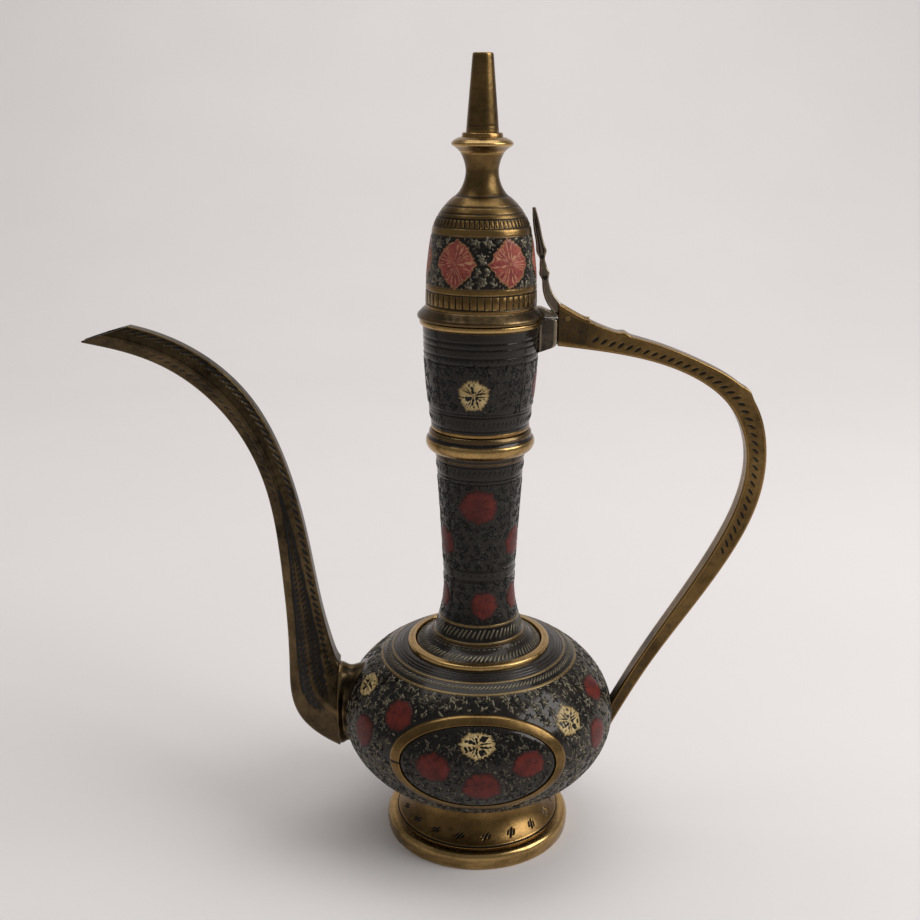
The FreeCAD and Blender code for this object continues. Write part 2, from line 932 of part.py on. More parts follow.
def make_lever(doc):
    """Hinge tab, knuckle and thumbpiece in one flat casting, drawn about the hinge axis."""
    body = make_body(doc, "thumb_lever")
    sketch = sketch_on(body, "XZ_Plane", "thumb_lever_outline")
    tab_end = size("lever_seat_gap") - size("hinge_reach")
    tab_low = flange_base() - hinge_z() + size("lever_seat_gap")
    tab_high = tab_low + size("tab_height")
    radius = size("knuckle_radius")
    stem_left = (-(size("stem_lean") + size("stem_width") / 2), size("stem_rise"))
    stem_right = (-(size("stem_lean") - size("stem_width") / 2), size("stem_rise"))
    knot_left = (-(size("knot_lean") + size("knot_width") / 2), size("knot_rise"))
    knot_right = (-(size("knot_lean") - size("knot_width") / 2), size("knot_rise"))
    tip = (-size("thumb_lean"), size("thumb_rise"))
    swell = size("thumb_swell")
    outline = [
        (tab_end, tab_low),
        (ZERO, tab_low),
        (radius * DIAGONAL, radius * DIAGONAL),
        stem_right,
        (*knot_right, bowed(knot_right, tip, swell)),
        tip,
        knot_left,
        stem_left,
        (-size("stem_lean"), tab_high),
        (tab_end, tab_high),
    ]
    draw_outline(sketch, outline)
    padded(body, sketch, size("lever_thickness"))
    knuckle = sketch_on(body, "XZ_Plane", "knuckle_round")
    add_circle(knuckle, radius)
    padded(body, knuckle, size("lever_thickness"))
    eye = sketch_on(body, "XZ_Plane", "knuckle_eye")
    add_circle(eye, size("pin_radius") + size("pin_running_clearance"))
    hole = body.newObject("PartDesign::Pocket", "knuckle_eye_hole")
    hole.Profile = eye
    hole.SideType = "Symmetric"
    bind(hole, Length=size("lever_thickness") * 2)
    place(body, x=hinge_x(), z=hinge_z())
    return body


def add_circle(sketch, radius):
    """Circle about the sketch's origin."""
    circle = Part.Circle(FreeCAD.Vector(), FreeCAD.Vector(0, 0, 1), radius.value)
    element = sketch.addGeometry(circle)
    sketch.addConstraint(Sketcher.Constraint("Coincident", element, 3, -1, 1))
    index = sketch.addConstraint(Sketcher.Constraint("Radius", element, radius.value))
    sketch.setExpression(f"Constraints[{index}]", radius.text)


def make_flange(doc):
    """Ring under the dome, with a socket below for the sleeve and a lip above it."""
    socket = sleeve_radius() + size("solder_gap")
    lip = size("lid_base_radius") - size("lid_wall") - size("flange_lip")
    outer = size("flange_radius")
    height = size("flange_height")
    outline = [
        (socket, ZERO),
        (outer, ZERO),
        (outer, size("flange_edge")),
        (size("lid_base_radius"), height),
        (lip, height),
        (lip, size("socket_depth")),
        (socket, size("socket_depth")),
    ]
    return turned(doc, "lid_flange", outline, flange_base())


def make_sleeve(doc):
    """Short tube in the flange's socket that keeps the lid in the mouth."""
    outer = sleeve_radius()
    inner = outer - size("sleeve_wall")
    height = size("sleeve_drop") + size("socket_depth")
    outline = [(inner, ZERO), (outer, ZERO), (outer, height), (inner, height)]
    return turned(doc, "lid_sleeve", outline, flange_base() - size("sleeve_drop"))


def make_dome(doc):
    """Dome of the lid, drawn in to a waist under the finial."""
    wall = size("lid_wall")
    hole = stud_hole()
    base = (size("lid_base_radius"), ZERO)
    shoulder = (size("lid_shoulder_radius"), size("lid_wall_height"))
    throat = (size("throat_radius"), shoulder[1] + size("lid_shoulder_height"))
    waist = (size("waist_radius"), throat[1] + size("waist_height"))
    top = (size("waist_top_radius"), waist[1] + size("waist_top_height"))
    base_inner = (base[0] - wall, ZERO)
    shoulder_inner = (shoulder[0] - wall, shoulder[1])
    roof = (throat[0] - wall, dome_roof())
    outline = [
        base_inner,
        (*base, bowed(base, shoulder, size("lid_wall_swell"))),
        (*shoulder, bowed(shoulder, throat, size("lid_shoulder_swell"))),
        (*throat, bowed(throat, waist, -size("throat_hollow"))),
        (*waist, bowed(waist, top, -size("waist_hollow"))),
        top,
        (hole, top[1]),
        (hole, roof[1]),
        (*roof, bowed(roof, shoulder_inner, size("lid_shoulder_swell"))),
        (*shoulder_inner, bowed(shoulder_inner, base_inner, size("lid_wall_swell"))),
    ]
    return turned(doc, "lid_dome", outline, dome_base())


def make_finial_collar(doc):
    height = size("finial_collar_height")
    edge = size("waist_top_radius")
    outline = [
        (stud_hole(), ZERO),
        (edge, ZERO, (size("finial_collar_radius"), height / 2)),
        (edge, height),
        (stud_hole(), height),
    ]
    return turned(doc, "finial_collar", outline, finial_base())


def make_finial_washer(doc):
    outer = size("finial_washer_radius")
    height = size("finial_washer_height")
    outline = [(stud_hole(), ZERO), (outer, ZERO), (outer, height), (stud_hole(), height)]
    return turned(doc, "finial_washer", outline, washer_base())


def make_spike(doc):
    """Tapered finial with a blind hole for the stud."""
    height = size("spike_height")
    edge = size("spike_edge")
    depth = size("stud_engagement") + size("stud_clearance")
    outline = [
        (stud_hole(), ZERO),
        (size("spike_base_radius"), ZERO),
        (size("spike_tip_radius"), height - edge),
        (size("spike_tip_radius") - edge, height),
        (ZERO, height),
        (ZERO, depth),
        (stud_hole(), depth),
    ]
    return turned(doc, "finial_spike", outline, spike_base())


def make_stud(doc):
    """Rod that draws the finial down on the dome."""
    tail = dome_base() + dome_roof() - size("nut_height") - size("stud_tail")
    stud = cylinder(doc, "finial_stud", size("stud_radius"), spike_base() + size("stud_engagement") - tail)
    stud.Label = "finial_stud"
    place(stud, z=tail)
    return stud


def make_nut(doc):
    height = size("nut_height")
    level = dome_base() + dome_roof() - height
    block = doc.addObject("Part::Prism", "finial_nut_block")
    block.Polygon = 6
    bind(block, Circumradius=size("nut_half_width"), Height=height)
    place(block, z=level)
    hole = cylinder(doc, "finial_nut_hole", stud_hole(), height)
    place(hole, z=level)
    return boolean(doc, "Cut", "finial_nut", block, hole)


def check_document(doc):
    """Stops if any object failed to rebuild."""
    for item in doc.Objects:
        if "Invalid" in item.State or "Error" in item.State:
            raise RuntimeError(f"{item.Label} failed: {item.State}")


def check_shape(piece):
    """Stops if a piece has no sound solid."""
    shape = piece.Shape
    if shape.isNull() or not shape.isValid() or not shape.Solids:
        raise RuntimeError(f"{piece.Label} has no valid solid")


def main():
    doc = FreeCAD.newDocument("ewer")
    make_sheet(doc)
    globe_blank = spheroid(doc, "handle_globe", size("solder_gap"))
    pieces = [
        make_foot_band(doc),
        make_foot_pedestal(doc),
        make_globe(doc),
        *make_medallion(doc, "front", -1),
        *make_medallion(doc, "back", 1),
        make_shoulder_ring(doc),
        make_shoulder_collar(doc),
        make_neck(doc),
        make_bead(doc),
        make_cup(doc),
        make_mouth_rim(doc),
        make_spout(doc),
        make_spout_collar(doc),
        make_lug(doc),
        make_hinge_pin(doc),
        make_flange(doc),
        make_sleeve(doc),
        make_dome(doc),
        make_finial_collar(doc),
        make_finial_washer(doc),
        make_spike(doc),
        make_stud(doc),
        make_nut(doc),
        make_lever(doc),
    ]
    doc.recompute()
    pieces.append(make_handle(doc, globe_blank))
    doc.recompute()
    check_document(doc)
    for piece in pieces:
        check_shape(piece)
    os.makedirs("parts", exist_ok=True)
    for piece in pieces:
        piece.Shape.exportStep(f"parts/{piece.Label}.step")
        box = piece.Shape.BoundBox
        print(f"{piece.Label}: {len(piece.Shape.Solids)} solid, {piece.Shape.Volume:.1f} mm3, "
              f"x {box.XMin:.1f}..{box.XMax:.1f}, z {box.ZMin:.1f}..{box.ZMax:.1f}")


main()
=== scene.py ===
"""Visual model of a spouted brass ewer: engraved, lacquered and enamelled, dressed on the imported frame.

Lengths are millimetres until a mesh is made. +X is the handle's side, -X the spout's, -Y the front, Z up.
Angles round the pot start at the front and run towards the handle.
"""

import json
import logging
from dataclasses import dataclass, field, fields, replace
from enum import Enum
from typing import Callable, Sequence

import bpy
import numpy as np
from mathutils import Matrix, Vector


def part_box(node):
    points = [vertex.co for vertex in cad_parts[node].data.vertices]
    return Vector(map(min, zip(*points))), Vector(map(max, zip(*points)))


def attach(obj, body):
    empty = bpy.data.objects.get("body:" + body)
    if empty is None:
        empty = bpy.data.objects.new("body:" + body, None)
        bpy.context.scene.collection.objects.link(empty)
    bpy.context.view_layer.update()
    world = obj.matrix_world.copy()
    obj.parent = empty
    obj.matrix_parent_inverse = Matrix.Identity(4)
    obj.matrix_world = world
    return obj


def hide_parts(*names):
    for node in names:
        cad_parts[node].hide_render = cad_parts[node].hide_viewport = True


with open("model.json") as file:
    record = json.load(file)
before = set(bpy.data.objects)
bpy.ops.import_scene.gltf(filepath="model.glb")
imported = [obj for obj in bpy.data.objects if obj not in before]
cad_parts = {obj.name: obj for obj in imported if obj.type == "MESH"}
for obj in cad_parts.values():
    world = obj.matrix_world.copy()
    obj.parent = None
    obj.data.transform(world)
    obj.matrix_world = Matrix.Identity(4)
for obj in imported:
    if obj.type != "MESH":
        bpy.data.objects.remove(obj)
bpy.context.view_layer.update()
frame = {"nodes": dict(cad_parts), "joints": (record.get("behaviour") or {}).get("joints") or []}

Array = np.ndarray
Values = np.ndarray | float
Rng = np.random.Generator
Socket = bpy.types.NodeSocket
Pair = tuple[float, float]
Rows = Sequence[tuple[float, ...]]
Colour = tuple[float, float, float, float]
Relief = Callable[[Array, Array], Array]

MM = 0.001
FULL_TURN = 2.0 * np.pi
SINK = 0.06  # depth to which ornament reaches below the face it is laid on
EDGE_WINDOW = 0.5  # reach on either side over which the turn of a section is summed
FULL_EDGE = 1.2  # turn in radians that counts as a sharp edge

log = logging.getLogger("ewer")


class Body(Enum):
    """Moving bodies that a piece can ride on."""

    POT = "pot"
    LID = "lid"


class Slot(Enum):
    """Material slots of the part."""

    ANTIQUE = "antique_brass"
    LACQUERED = "lacquered_brass"
    POLISHED = "polished_band"
    PLAIN = "plain_brass"


class Face(Enum):
    """Face of the globe that a medallion sits on, with the sign of its Y."""

    FRONT = -1
    BACK = 1


class Motif(Enum):
    """Kinds of enamel patch."""

    RED = "red"
    CREAM = "cream"
    LOZENGE = "lozenge"


# Numbers


def smooth(low: float, high: float, value: Array) -> Array:
    """Smooth step that runs from 0 at low to 1 at high."""
    share = np.clip((value - low) / (high - low), 0.0, 1.0)
    return share * share * (3.0 - 2.0 * share)


def bell(distance: Array, reach: float) -> Array:
    """Bell curve of height 1 over distance 0."""
    return np.exp(-((distance / reach) ** 2))


def wrapped(angle: Array) -> Array:
    """Angle brought into the half turn on either side of 0."""
    return (angle + np.pi) % FULL_TURN - np.pi


def round_steps(count: int) -> Array:
    """Angles of equal steps round a full turn, as one row."""
    return np.linspace(0.0, FULL_TURN, count, endpoint=False)[None, :]


def headed(angle: Array) -> Array:
    """Unit vectors (cos, sin) at angles, along a last axis."""
    return np.stack([np.cos(angle), np.sin(angle)], axis=-1)


def unit(vectors: Array) -> Array:
    """Vectors along the last axis brought to length 1."""
    return vectors / np.maximum(np.linalg.norm(vectors, axis=-1, keepdims=True), 1e-9)


def plateau(low: float, high: float, value: Array) -> Array:
    """1 between low and high and 0 outside, with soft edges inside them."""
    soft = 0.3
    return smooth(low, low + soft, value) * smooth(high, high - soft, value)


def spline(knots: Array, values: Array, where: Array) -> Array:
    """Natural cubic spline.

    Args:
        knots: Rising parameters of the given values, n of them.
        values: Values at the knots, n by d.
        where: Parameters to read the spline at, of any shape.

    Returns:
        Values there, with d as the last axis.
    """
    gap = np.diff(knots)
    middle = np.concatenate([[1.0], 2.0 * (gap[:-1] + gap[1:]), [1.0]])
    matrix = np.diag(middle)
    matrix += np.diag(np.append(gap[:-1], 0.0), -1)
    matrix += np.diag(np.insert(gap[1:], 0, 0.0), 1)
    slope = np.diff(values, axis=0) / gap[:, None]
    right = np.zeros_like(values)
    right[1:-1] = 6.0 * np.diff(slope, axis=0)
    bend = np.linalg.solve(matrix, right)
    place = np.clip(np.searchsorted(knots, where) - 1, 0, len(gap) - 1)
    width = gap[place][..., None]
    after = (where[..., None] - knots[place][..., None]) / width
    before = 1.0 - after
    straight = before * values[place] + after * values[place + 1]
    curved = (before**3 - before) * bend[place] + (after**3 - after) * bend[place + 1]
    return straight + curved * width**2 / 6.0


def chord_lengths(points: Array) -> Array:
    """Length run along a row of points, from 0 at the first."""
    return np.insert(np.cumsum(np.linalg.norm(np.diff(points, axis=0), axis=1)), 0, 0.0)


def bowed_side(start: Array, end: Array, bow: float, share: Array) -> Array:
    """Points on the circular arc between two points.

    Args:
        start: First point (radius, height).
        end: Last point.
        bow: Radial distance of the arc's middle from the straight side.
        share: Places along the arc, 0 to 1.

    Returns:
        Points, one row for each share.
    """
    if abs(bow) < 1e-6:
        return start + share[:, None] * (end - start)
    middle = (start + end) / 2.0 + np.array([bow, 0.0])
    lines = 2.0 * np.array([middle - start, end - start])
    squares = np.array([middle @ middle - start @ start, end @ end - start @ start])
    centre = np.linalg.solve(lines, squares)
    arms = np.array([start, middle, end]) - centre
    turns = np.unwrap(np.arctan2(arms[:, 1], arms[:, 0]))
    turn = np.interp(share, [0.0, 0.5, 1.0], turns)
    return centre + np.linalg.norm(arms[0]) * headed(turn)


def slanted_strokes(along: Array, across: Array, pitch: float, slant: Values, half: Pair) -> Array:
    """Depth pattern of a row of lens-shaped cuts.

    Cut k has its middle at along = (k + 1/2) pitch and across = 0, is turned by slant, and its half width
    falls from half[1] to 0 as 1 - (u / half[0])^2 along its own length u.

    Args:
        along: Distance along the row.
        across: Distance across it.
        pitch: Spacing of the cuts.
        slant: Angle of a cut from the row, in radians.
        half: Half length and half width of a cut.

    Returns:
        Depth from 0 on the plain face to 1 in the middle of a cut.
    """
    depth = np.zeros(np.broadcast(along, across).shape)
    for neighbour in (-1.0, 0.0, 1.0):
        offset = along % pitch - pitch / 2.0 + neighbour * pitch
        lengthwise = offset * np.cos(slant) + across * np.sin(slant)
        crosswise = across * np.cos(slant) - offset * np.sin(slant)
        width = half[1] * np.clip(1.0 - (lengthwise / half[0]) ** 2, 0.02, None)
        inside = np.clip(1.0 - np.abs(crosswise) / width, 0.0, 1.0)
        depth = np.maximum(depth, smooth(0.0, 0.7, inside) * (np.abs(lengthwise) < half[0]))
    return depth


# Meshes


@dataclass
class Skin:
    """Closed surface made of four-sided and three-sided faces."""

    points: Array  # vertices, n by 3
    quads: Array  # four-sided faces by vertex number
    triangles: Array = field(default_factory=lambda: np.zeros((0, 3), int))  # three-sided faces
    # Named values for each vertex, read by the materials
    marks: dict[str, Array] = field(default_factory=dict)

    @staticmethod
    def joined(skins: Sequence["Skin"]) -> "Skin":
        """One surface made of several.

        Args:
            skins: Surfaces that carry the same marks.

        Returns:
            The joined surface.
        """
        starts = np.cumsum([0] + [len(skin.points) for skin in skins[:-1]])
        return Skin(
            np.concatenate([skin.points for skin in skins]),
            np.concatenate([skin.quads + start for skin, start in zip(skins, starts)]),
            np.concatenate([skin.triangles + start for skin, start in zip(skins, starts)]),
            {name: np.concatenate([skin.marks[name] for skin in skins]) for name in skins[0].marks},
        )


def grid_quads(rows: int, columns: int, wrap_rows: bool) -> Array:
    """Faces of a grid that closes along its columns, and along its rows where asked.

    Args:
        rows: Number of rows.
        columns: Number of columns.
        wrap_rows: Whether the last row joins the first.

    Returns:
        Vertex numbers, four for each face, outward where column direction x row direction points out.
    """
    number = np.arange(rows * columns).reshape(rows, columns)
    lower = number if wrap_rows else number[:-1]
    upper = np.roll(number, -1, axis=0) if wrap_rows else number[1:]
    ring = (lower, np.roll(lower, -1, axis=1), np.roll(upper, -1, axis=1), upper)
    return np.stack(ring, axis=-1).reshape(-1, 4)


def ring_skin(points: Array, **marks: Array) -> Skin:
    """Ring-shaped surface from a grid of points that closes both ways, with marks for each point."""
    flat = {name: np.broadcast_to(mark, points.shape[:2]).ravel() for name, mark in marks.items()}
    return Skin(points.reshape(-1, 3), grid_quads(*points.shape[:2], True), marks=flat)


def capped_skin(points: Array, first: Array, last: Array, **marks: Array) -> Skin:
    """Ball-shaped surface from a grid that closes along its columns, with one point at either end.

    Args:
        points: Grid of points, rows by columns by 3.
        first: Point that closes the first row.
        last: Point that closes the last row.
        marks: Values for each point of the grid.

    Returns:
        The surface.
    """
    rows, columns = points.shape[:2]
    number = np.arange(rows * columns).reshape(rows, columns)
    low, high = rows * columns, rows * columns + 1
    bottom, top = number[0], number[-1]
    opening = np.stack([np.full(columns, low), np.roll(bottom, -1), bottom], axis=1)
    closing = np.stack([top, np.roll(top, -1), np.full(columns, high)], axis=1)
    flat = {}
    for name, mark in marks.items():
        whole = np.broadcast_to(mark, (rows, columns))
        flat[name] = np.concatenate([whole.ravel(), [whole[0].mean(), whole[-1].mean()]])
    every = np.concatenate([points.reshape(-1, 3), [first, last]])
    return Skin(every, grid_quads(rows, columns, False), np.concatenate([opening, closing]), flat)


def grid_normals(points: Array) -> Array:
    """Outward unit normals of a grid of points that closes along its columns."""
    across = np.roll(points, -1, axis=1) - np.roll(points, 1, axis=1)
    return unit(np.cross(across, np.gradient(points, axis=0)))


def make_piece(
    name: str,
    skin: Skin,
    finish: "Finish",
    body: Body = Body.POT,
    node: str = "",
) -> None:
    """Makes one visible object from a surface.

    Args:
        name: Name of the object.
        skin: Surface in millimetres.
        finish: What it is dressed in.
        body: Body it moves with.
        node: Node of the frame that it replaces, if any.
    """
    mesh = bpy.data.meshes.new(name)
    quads, triangles = len(skin.quads), len(skin.triangles)
    starts = np.concatenate([4 * np.arange(quads), 4 * quads + 3 * np.arange(triangles)])
    corners = np.concatenate([skin.quads.ravel(), skin.triangles.ravel()])
    mesh.vertices.add(len(skin.points))
    mesh.loops.add(len(corners))
    mesh.polygons.add(len(starts))
    mesh.vertices.foreach_set("co", (skin.points * MM).astype(np.float32).ravel())
    mesh.loops.foreach_set("vertex_index", corners.astype(np.int32))
    mesh.polygons.foreach_set("loop_start", starts.astype(np.int32))
    mesh.polygons.foreach_set("use_smooth", np.ones(len(starts), bool))
    for mark, values in skin.marks.items():
        layer = mesh.attributes.new(mark, "FLOAT", "POINT")
        layer.data.foreach_set("value", values.astype(np.float32))
    mesh.update(calc_edges=True)
    mesh.validate()
    mesh.materials.append(finish.material())
    piece = bpy.data.objects.new(name, mesh)
    bpy.context.scene.collection.objects.link(piece)
    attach(piece, body.value)
    if node:
        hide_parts(node)
    log.info("%s: %d triangles", name, 2 * quads + triangles)


def dress_node(node: str, finish: "Finish") -> None:
    """Gives a finish to a node of the frame that stays visible.

    Args:
        node: Name of the node.
        finish: What it is dressed in.
    """
    mesh = frame["nodes"][node].data
    mesh.materials.clear()
    mesh.materials.append(finish.material())
    log.info("%s: dressed", node)


def node_box(node: str) -> tuple[Array, Array]:
    """Lowest and highest corner of a node of the frame, in millimetres."""
    low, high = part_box(node)
    return np.array(low) / MM, np.array(high) / MM


# Turned pieces


@dataclass(frozen=True)
class Corner:
    """Corner of a turned section."""

    radius: float
    height: float
    bow: float = 0.0  # bulge of the side that leaves this corner, outwards from the axis
    soft: float = 0.2  # reach of the corner's rounding
    step: float = 0.6  # spacing of points on the side that leaves this corner


@dataclass(frozen=True)
class Section:
    """Closed section of a turned piece, run anticlockwise in the (radius, height) plane."""

    points: Array

    @classmethod
    def of(cls, *corners: Corner) -> "Section":
        """Section through softened corners.

        Args:
            corners: Corners in anticlockwise order.

        Returns:
            The sampled section.
        """
        runs = []
        for corner, following in zip(corners, corners[1:] + corners[:1]):
            start = np.array([corner.radius, corner.height])
            end = np.array([following.radius, following.height])
            length = np.linalg.norm(end - start)
            lead, tail = min(corner.soft / length, 0.45), min(following.soft / length, 0.45)
            count = max(2, int(np.ceil(length * (1.0 - lead - tail) / corner.step)) + 1)
            runs.append(bowed_side(start, end, corner.bow, np.linspace(lead, 1.0 - tail, count)))
        share = np.array([0.25, 0.5, 0.75])[:, None]
        whole = []
        for corner, run, before in zip(corners, runs, runs[-1:] + runs[:-1]):
            peak = np.array([corner.radius, corner.height])
            rounding = (1 - share) ** 2 * before[-1] + 2 * share * (1 - share) * peak + share**2 * run[0]
            whole += [rounding, run]
        return cls(np.concatenate(whole))

    @classmethod
    def tube(cls, bore: float, soft: float, step: float, *outer: Corner) -> "Section":
        """Section of a bore, with its radius, rounding and spacing, and outer corners from foot to top."""
        foot, top = (Corner(bore, corner.height, soft=soft, step=step) for corner in (outer[0], outer[-1]))
        return cls.of(foot, *outer, top)

    def normals(self) -> Array:
        """Outward unit normals of the section's points."""
        tangent = np.roll(self.points, -1, axis=0) - np.roll(self.points, 1, axis=0)
        return unit(np.stack([tangent[:, 1], -tangent[:, 0]], axis=1))

    def edges(self) -> Array:
        """Sharpness of the section at its points.

        Returns:
            Values up to 1 on proud edges and down to -1 in hollows.
        """
        step = np.roll(self.points, -1, axis=0) - self.points
        heading = np.arctan2(step[:, 1], step[:, 0])
        turn = wrapped(heading - np.roll(heading, 1))
        length = np.linalg.norm(step, axis=1)
        place = np.insert(np.cumsum(length), 0, 0.0)[:-1]
        whole = length.sum()
        turned = np.cumsum(turn) - turn / 2.0
        places = np.concatenate([place - whole, place, place + whole])
        turns = np.concatenate([turned - FULL_TURN, turned, turned + FULL_TURN])
        ahead = np.interp(place + EDGE_WINDOW, places, turns)
        behind = np.interp(place - EDGE_WINDOW, places, turns)
        return np.clip((ahead - behind) / FULL_EDGE, -1.0, 1.0)


def lathe(section: Section, columns: int, relief: Relief | None = None) -> Skin:
    """Turns a section about the upright axis.

    Point (i, j) is (r sin a, -r cos a, z) with (r, z) point i of the section and a = 2 pi j / columns.
    On the outer side it is first moved along the section's normal by relief(a, z).

    Args:
        section: Section to turn.
        columns: Number of steps round the axis.
        relief: Height of the ornament over the plain face at angles and heights.

    Returns:
        The closed surface, with the mark wear.
    """
    angle = round_steps(columns)
    radius, height = section.points[:, :1], section.points[:, 1:]
    normal = section.normals()
    lift = np.zeros((len(radius), columns))
    if relief is not None:
        lift = relief(angle, height) * smooth(0.1, 0.3, normal[:, :1]) + lift
    turned = radius + normal[:, :1] * lift
    upright = height + normal[:, 1:] * lift
    points = np.stack([turned * np.sin(angle), -turned * np.cos(angle), upright], axis=-1)
    return ring_skin(points, wear=np.clip(section.edges()[:, None] + lift / 0.25, -1.0, 1.0))


def groove_relief(grooves: Sequence[float], depth: float, reach: float) -> Relief:
    """Relief of turned grooves with a section like a bell.

    Args:
        grooves: Heights of the grooves.
        depth: Their depth.
        reach: Reach of the bell.

    Returns:
        The relief, as lathe takes it.
    """

    def relief(angle: Array, height: Array) -> Array:
        """Height over the plain face, the same all round."""
        return -depth * sum(bell(height - groove, reach) for groove in grooves) + 0.0 * angle

    return relief


@dataclass
class Ground:
    """Outer face of a turned piece, on which ornament is laid."""

    radius: Array  # radii of the face from its foot to its top
    height: Array  # heights that go with them
    station: Array = field(init=False)  # length run up the face
    normal: Array = field(init=False)  # outward normals in the (radius, height) plane

    def __post_init__(self) -> None:
        """Works out the run and the normals of the face."""
        points = np.stack([self.radius, self.height], axis=1)
        self.station = chord_lengths(points)
        tangent = unit(np.gradient(points, axis=0))
        self.normal = np.stack([tangent[:, 1], -tangent[:, 0]], axis=1)

    @classmethod
    def on(cls, section: Section, low: float, high: float) -> "Ground":
        """Outer face of a section between two heights.

        Args:
            section: Section of the piece.
            low: Lower height.
            high: Upper height.

        Returns:
            The face.
        """
        points = section.points[section.normals()[:, 0] > 0.1]
        points = points[(points[:, 1] > low) & (points[:, 1] < high)]
        points = points[np.argsort(points[:, 1])]
        return cls(points[:, 0], points[:, 1])

    def at(self, height: Values) -> Array:
        """Station at a height."""
        return np.interp(height, self.height, self.station)

    def girth(self, station: Array) -> Array:
        """Radius at a station."""
        return np.interp(station, self.station, self.radius)

    def lay(self, angle: Values, station: Values, sideways: Values, up: Values, lift: Values) -> Array:
        """Points given about an anchor on the face.

        Args:
            angle: Angle of the anchor round the axis.
            station: Station of the anchor.
            sideways: Distance from it round the face.
            up: Distance from it up the face.
            lift: Height over the face.

        Returns:
            Points with x, y, z as the last axis.
        """
        place = station + up
        radius = self.girth(place)
        turn = angle + sideways / radius
        lifted = radius + lift * np.interp(place, self.station, self.normal[:, 0])
        rise = np.interp(place, self.station, self.height)
        rise = rise + lift * np.interp(place, self.station, self.normal[:, 1])
        parts = np.broadcast_arrays(lifted * np.sin(turn), -lifted * np.cos(turn), rise)
        return np.stack(parts, axis=-1)


def raised_line(ground: Ground, height: float, width: float, tall: float, columns: int = 180) -> Skin:
    """Thin brass line that runs round a face.

    Its section is a flat-bottomed lens, whose height over the face falls as 1 - x^4 towards its edges.

    Args:
        ground: Face it lies on.
        height: Height of its middle.
        width: Width up the face.
        tall: Height over the face.
        columns: Number of steps round the axis.

    Returns:
        The closed surface.
    """
    across = np.linspace(-1.0, 1.0, 9)
    top = tall * (1.0 - across**4) - SINK * across**4
    up = np.concatenate([across, [0.4, -0.4]])[:, None] * width / 2.0
    lift = np.concatenate([top, [-SINK, -SINK]])[:, None]
    points = ground.lay(round_steps(columns), ground.at(height), 0.0, up, lift)
    wear = np.where(lift > tall * 0.5, 0.5, -0.6)
    return ring_skin(points, wear=wear, tone=np.full_like(wear, 0.8))


# Ornament


